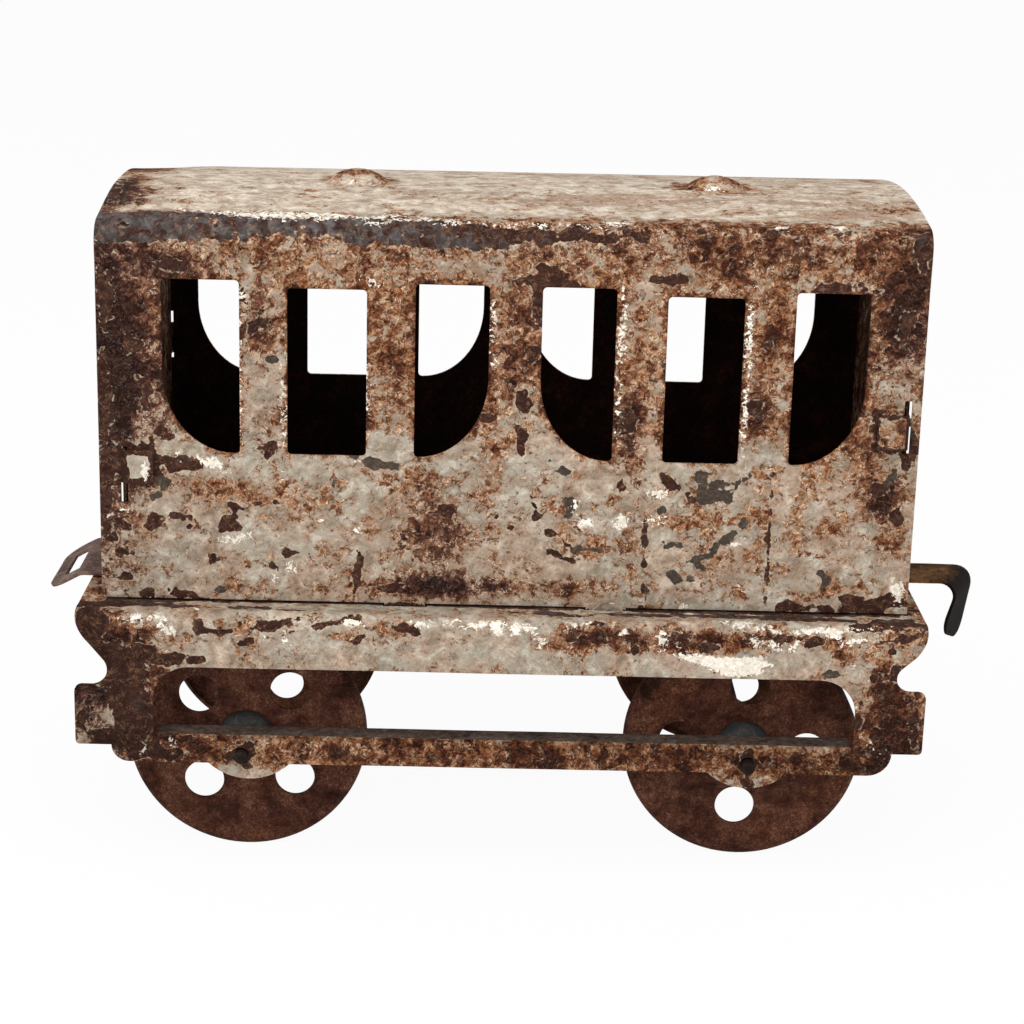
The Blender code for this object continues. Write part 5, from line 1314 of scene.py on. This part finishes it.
def pressedPiece(name, sizes, material, seed, x, side, turn):
    piece = newPiece(name, [(0, 0, 0)], [])
    lengths = {label: sizes[label.lower()] * mm for label in ("Radius", "Bore", "Bend", "Depth", "Buckle")}
    counts = {"Segments": sizes["segments"], "Rings": sizes["rings"]}
    runTree(piece, cupTree, {**lengths, **counts, "Seed": seed, "Material": material})
    thicken(piece, sizes["sheet"])
    # the punch turns the other way on a disc that is headed the other way
    runTree(piece, holeTree, {
        "Hole Radius": sizes["holeRadius"] * mm, "Circle": sizes["holeCircle"] * mm, "Count": sizes["holes"],
        "Turn": math.radians(-side * turn), "Heading": 0.0 if side < 0 else math.pi,
        "Place": (x * mm, side * sizes["face"] * mm, wheelSizes["height"] * mm), "Material": material})
    finishTurned(piece, 0.1, 2, 40)
    return piece


def makeWheelset(end, x, turns):
    for side, place, turn in ((-1, "front", turns[0]), (1, "back", turns[1])):
        seed = x * 0.37 + side * 2.1
        wheel = pressedPiece(f"wheel_{end}_{place}_disc", wheelSizes, discRust, seed, x, side, turn)
        places = cornersOf(wheel)
        dx, dz = places[:, 0] - x, places[:, 2] - wheelSizes["height"]
        r = np.hypot(dx, dz)
        if f"wheel_{end}_{place}" in wheelSizes["dents"]:
            middle, spread, deep = wheelSizes["dents"][f"wheel_{end}_{place}"]
            around = np.degrees(np.arctan2(dz, dx))
            pushed = deep * smoothStep(r, *wheelSizes["dentFrom"]) * bell(around, middle, spread)
            places[:, 0] -= pushed * dx / r
            places[:, 2] -= pushed * dz / r
            moveCorners(wheel, places)
        addFields(wheel.data, {"rimShare": smoothStep(r, *wheelSizes["rim"])})
        shadeSmooth(wheel, 35)
        handOver(wheel, f"wheelset_{end}", "wheel_disc", f"wheel_{end}_{place}")

        cup = pressedPiece(f"hub_{end}_{place}_cup", cupSizes, cupSteel, seed + 5, x, side, 0.0)
        shadeSmooth(cup, 35)
        handOver(cup, f"wheelset_{end}", "hub_cup", f"hub_{end}_{place}")

    axle = newPiece(f"axle_{end}_wire", [(0, 0, 0)], [])
    runTree(axle, axleTree, {
        "Radius": wireSizes["radius"] * mm, "Half Length": wireSizes["half"] * mm, "Sides": wireSizes["sides"],
        "Place": (x * mm, 0.0, wheelSizes["height"] * mm), "Material": axleWirePaintedShade})
    finishTurned(axle, 0.25, 3, 50)
    shadeSmooth(axle, 35)
    handOver(axle, f"wheelset_{end}", "wire", f"axle_{end}")
    print("wheelset", end, "made")


for end, x in zip(("left", "right"), wheelSizes["axles"]):
    makeWheelset(end, x, wheelSizes["turns"][end])


# floor, light and camera

studio = {
    "world": 0.52, "worldColour": (1.0, 0.99, 0.97, 1.0), "backdrop": 1.0,
    "floorHalf": 6.0, "floorTone": (236, 236, 236), "floorOwnLight": 0.95,    # half the floor's side, in metres
    "lampColour": (1.0, 0.985, 0.96), "lampsAimAt": (0, 0, 0.05),
    "lamps": [   # name, place, size, power
        ("soft box above", (-0.10, -0.35, 0.75), (0.9, 0.7), 5.2),
        ("soft box front left", (-0.55, -0.65, 0.35), (0.5, 0.5), 2.1),
        ("soft box front right", (0.60, -0.55, 0.30), (0.5, 0.5), 1.3),
    ],
}
cameraSizes = {"lens": 84.9, "place": (-4.87, -368.0, 155.24), "down": 16.35, "left": -0.58, "roll": 1.44}


def makeFloor(looks):
    far = looks["floorHalf"]
    mesh = bpy.data.meshes.new("floor")
    mesh.from_pydata([(-far, -far, 0), (far, -far, 0), (far, far, 0), (-far, far, 0)], [], [(0, 1, 2, 3)])
    material = bpy.data.materials.new("pale floor")
    material.use_nodes = True
    desk = NodeDesk(material.node_tree)
    shader = desk.tree.nodes["Principled BSDF"]
    for key, value in (("Base Color", tint(*looks["floorTone"])), ("Roughness", 0.9), ("Specular IOR Level", 0.0)):
        shader.inputs[key].default_value = value
    glow = desk.lay("ShaderNodeEmission", {"Strength": looks["backdrop"]})
    share = desk.times(desk.seenDirectly(), looks["floorOwnLight"])
    mix = desk.lay("ShaderNodeMixShader", {0: share, 1: shader.outputs[0], 2: glow})
    desk.join(mix, desk.tree.nodes["Material Output"].inputs["Surface"])
    mesh.materials.append(material)
    intoScene("floor", mesh)


def makeWorld(looks):
    world = bpy.data.worlds.new("studio")
    bpy.context.scene.world = world
    world.use_nodes = True
    desk = NodeDesk(world.node_tree)
    base = desk.tree.nodes["Background"]
    base.inputs["Color"].default_value = looks["worldColour"]
    base.inputs["Strength"].default_value = looks["world"]
    white = desk.lay("ShaderNodeBackground", {"Strength": looks["backdrop"]})
    mix = desk.lay("ShaderNodeMixShader", {0: desk.seenDirectly(), 1: base.outputs[0], 2: white})
    desk.join(mix, desk.tree.nodes["World Output"].inputs["Surface"])


def makeLamps(looks):
    for name, place, size, power in looks["lamps"]:
        lamp = bpy.data.lights.new(name, "AREA")
        lamp.shape = "RECTANGLE"
        lamp.size, lamp.size_y = size
        lamp.energy = power
        lamp.color = looks["lampColour"]
        holder = intoScene(name, lamp)
        holder.location = place
        holder.rotation_euler = (Vector(looks["lampsAimAt"]) - Vector(place)).to_track_quat("-Z", "Y").to_euler()


def makeCamera(sizes):
    down, yaw, roll = (math.radians(sizes[key]) for key in ("down", "left", "roll"))
    flatRight, flatAhead = Vector((math.cos(yaw), math.sin(yaw), 0)), Vector((-math.sin(yaw), math.cos(yaw), 0))
    ahead = math.cos(down) * flatAhead - math.sin(down) * Vector((0, 0, 1))
    above = math.sin(down) * flatAhead + math.cos(down) * Vector((0, 0, 1))
    right = math.cos(roll) * flatRight + math.sin(roll) * above
    above = -math.sin(roll) * flatRight + math.cos(roll) * above
    camera = intoScene("camera", bpy.data.cameras.new("camera"))
    camera.data.lens = sizes["lens"]
    camera.data.sensor_width = 36.0
    camera.data.clip_start = 0.01
    axes = Matrix((right, above, -ahead)).transposed().to_4x4()
    camera.matrix_world = Matrix.Translation(Vector(sizes["place"]) * mm) @ axes
    bpy.context.scene.camera = camera


bpy.context.scene.view_settings.view_transform = "Standard"
makeFloor(studio)
makeWorld(studio)
makeLamps(studio)
makeCamera(cameraSizes)
print("floor, light and camera made")
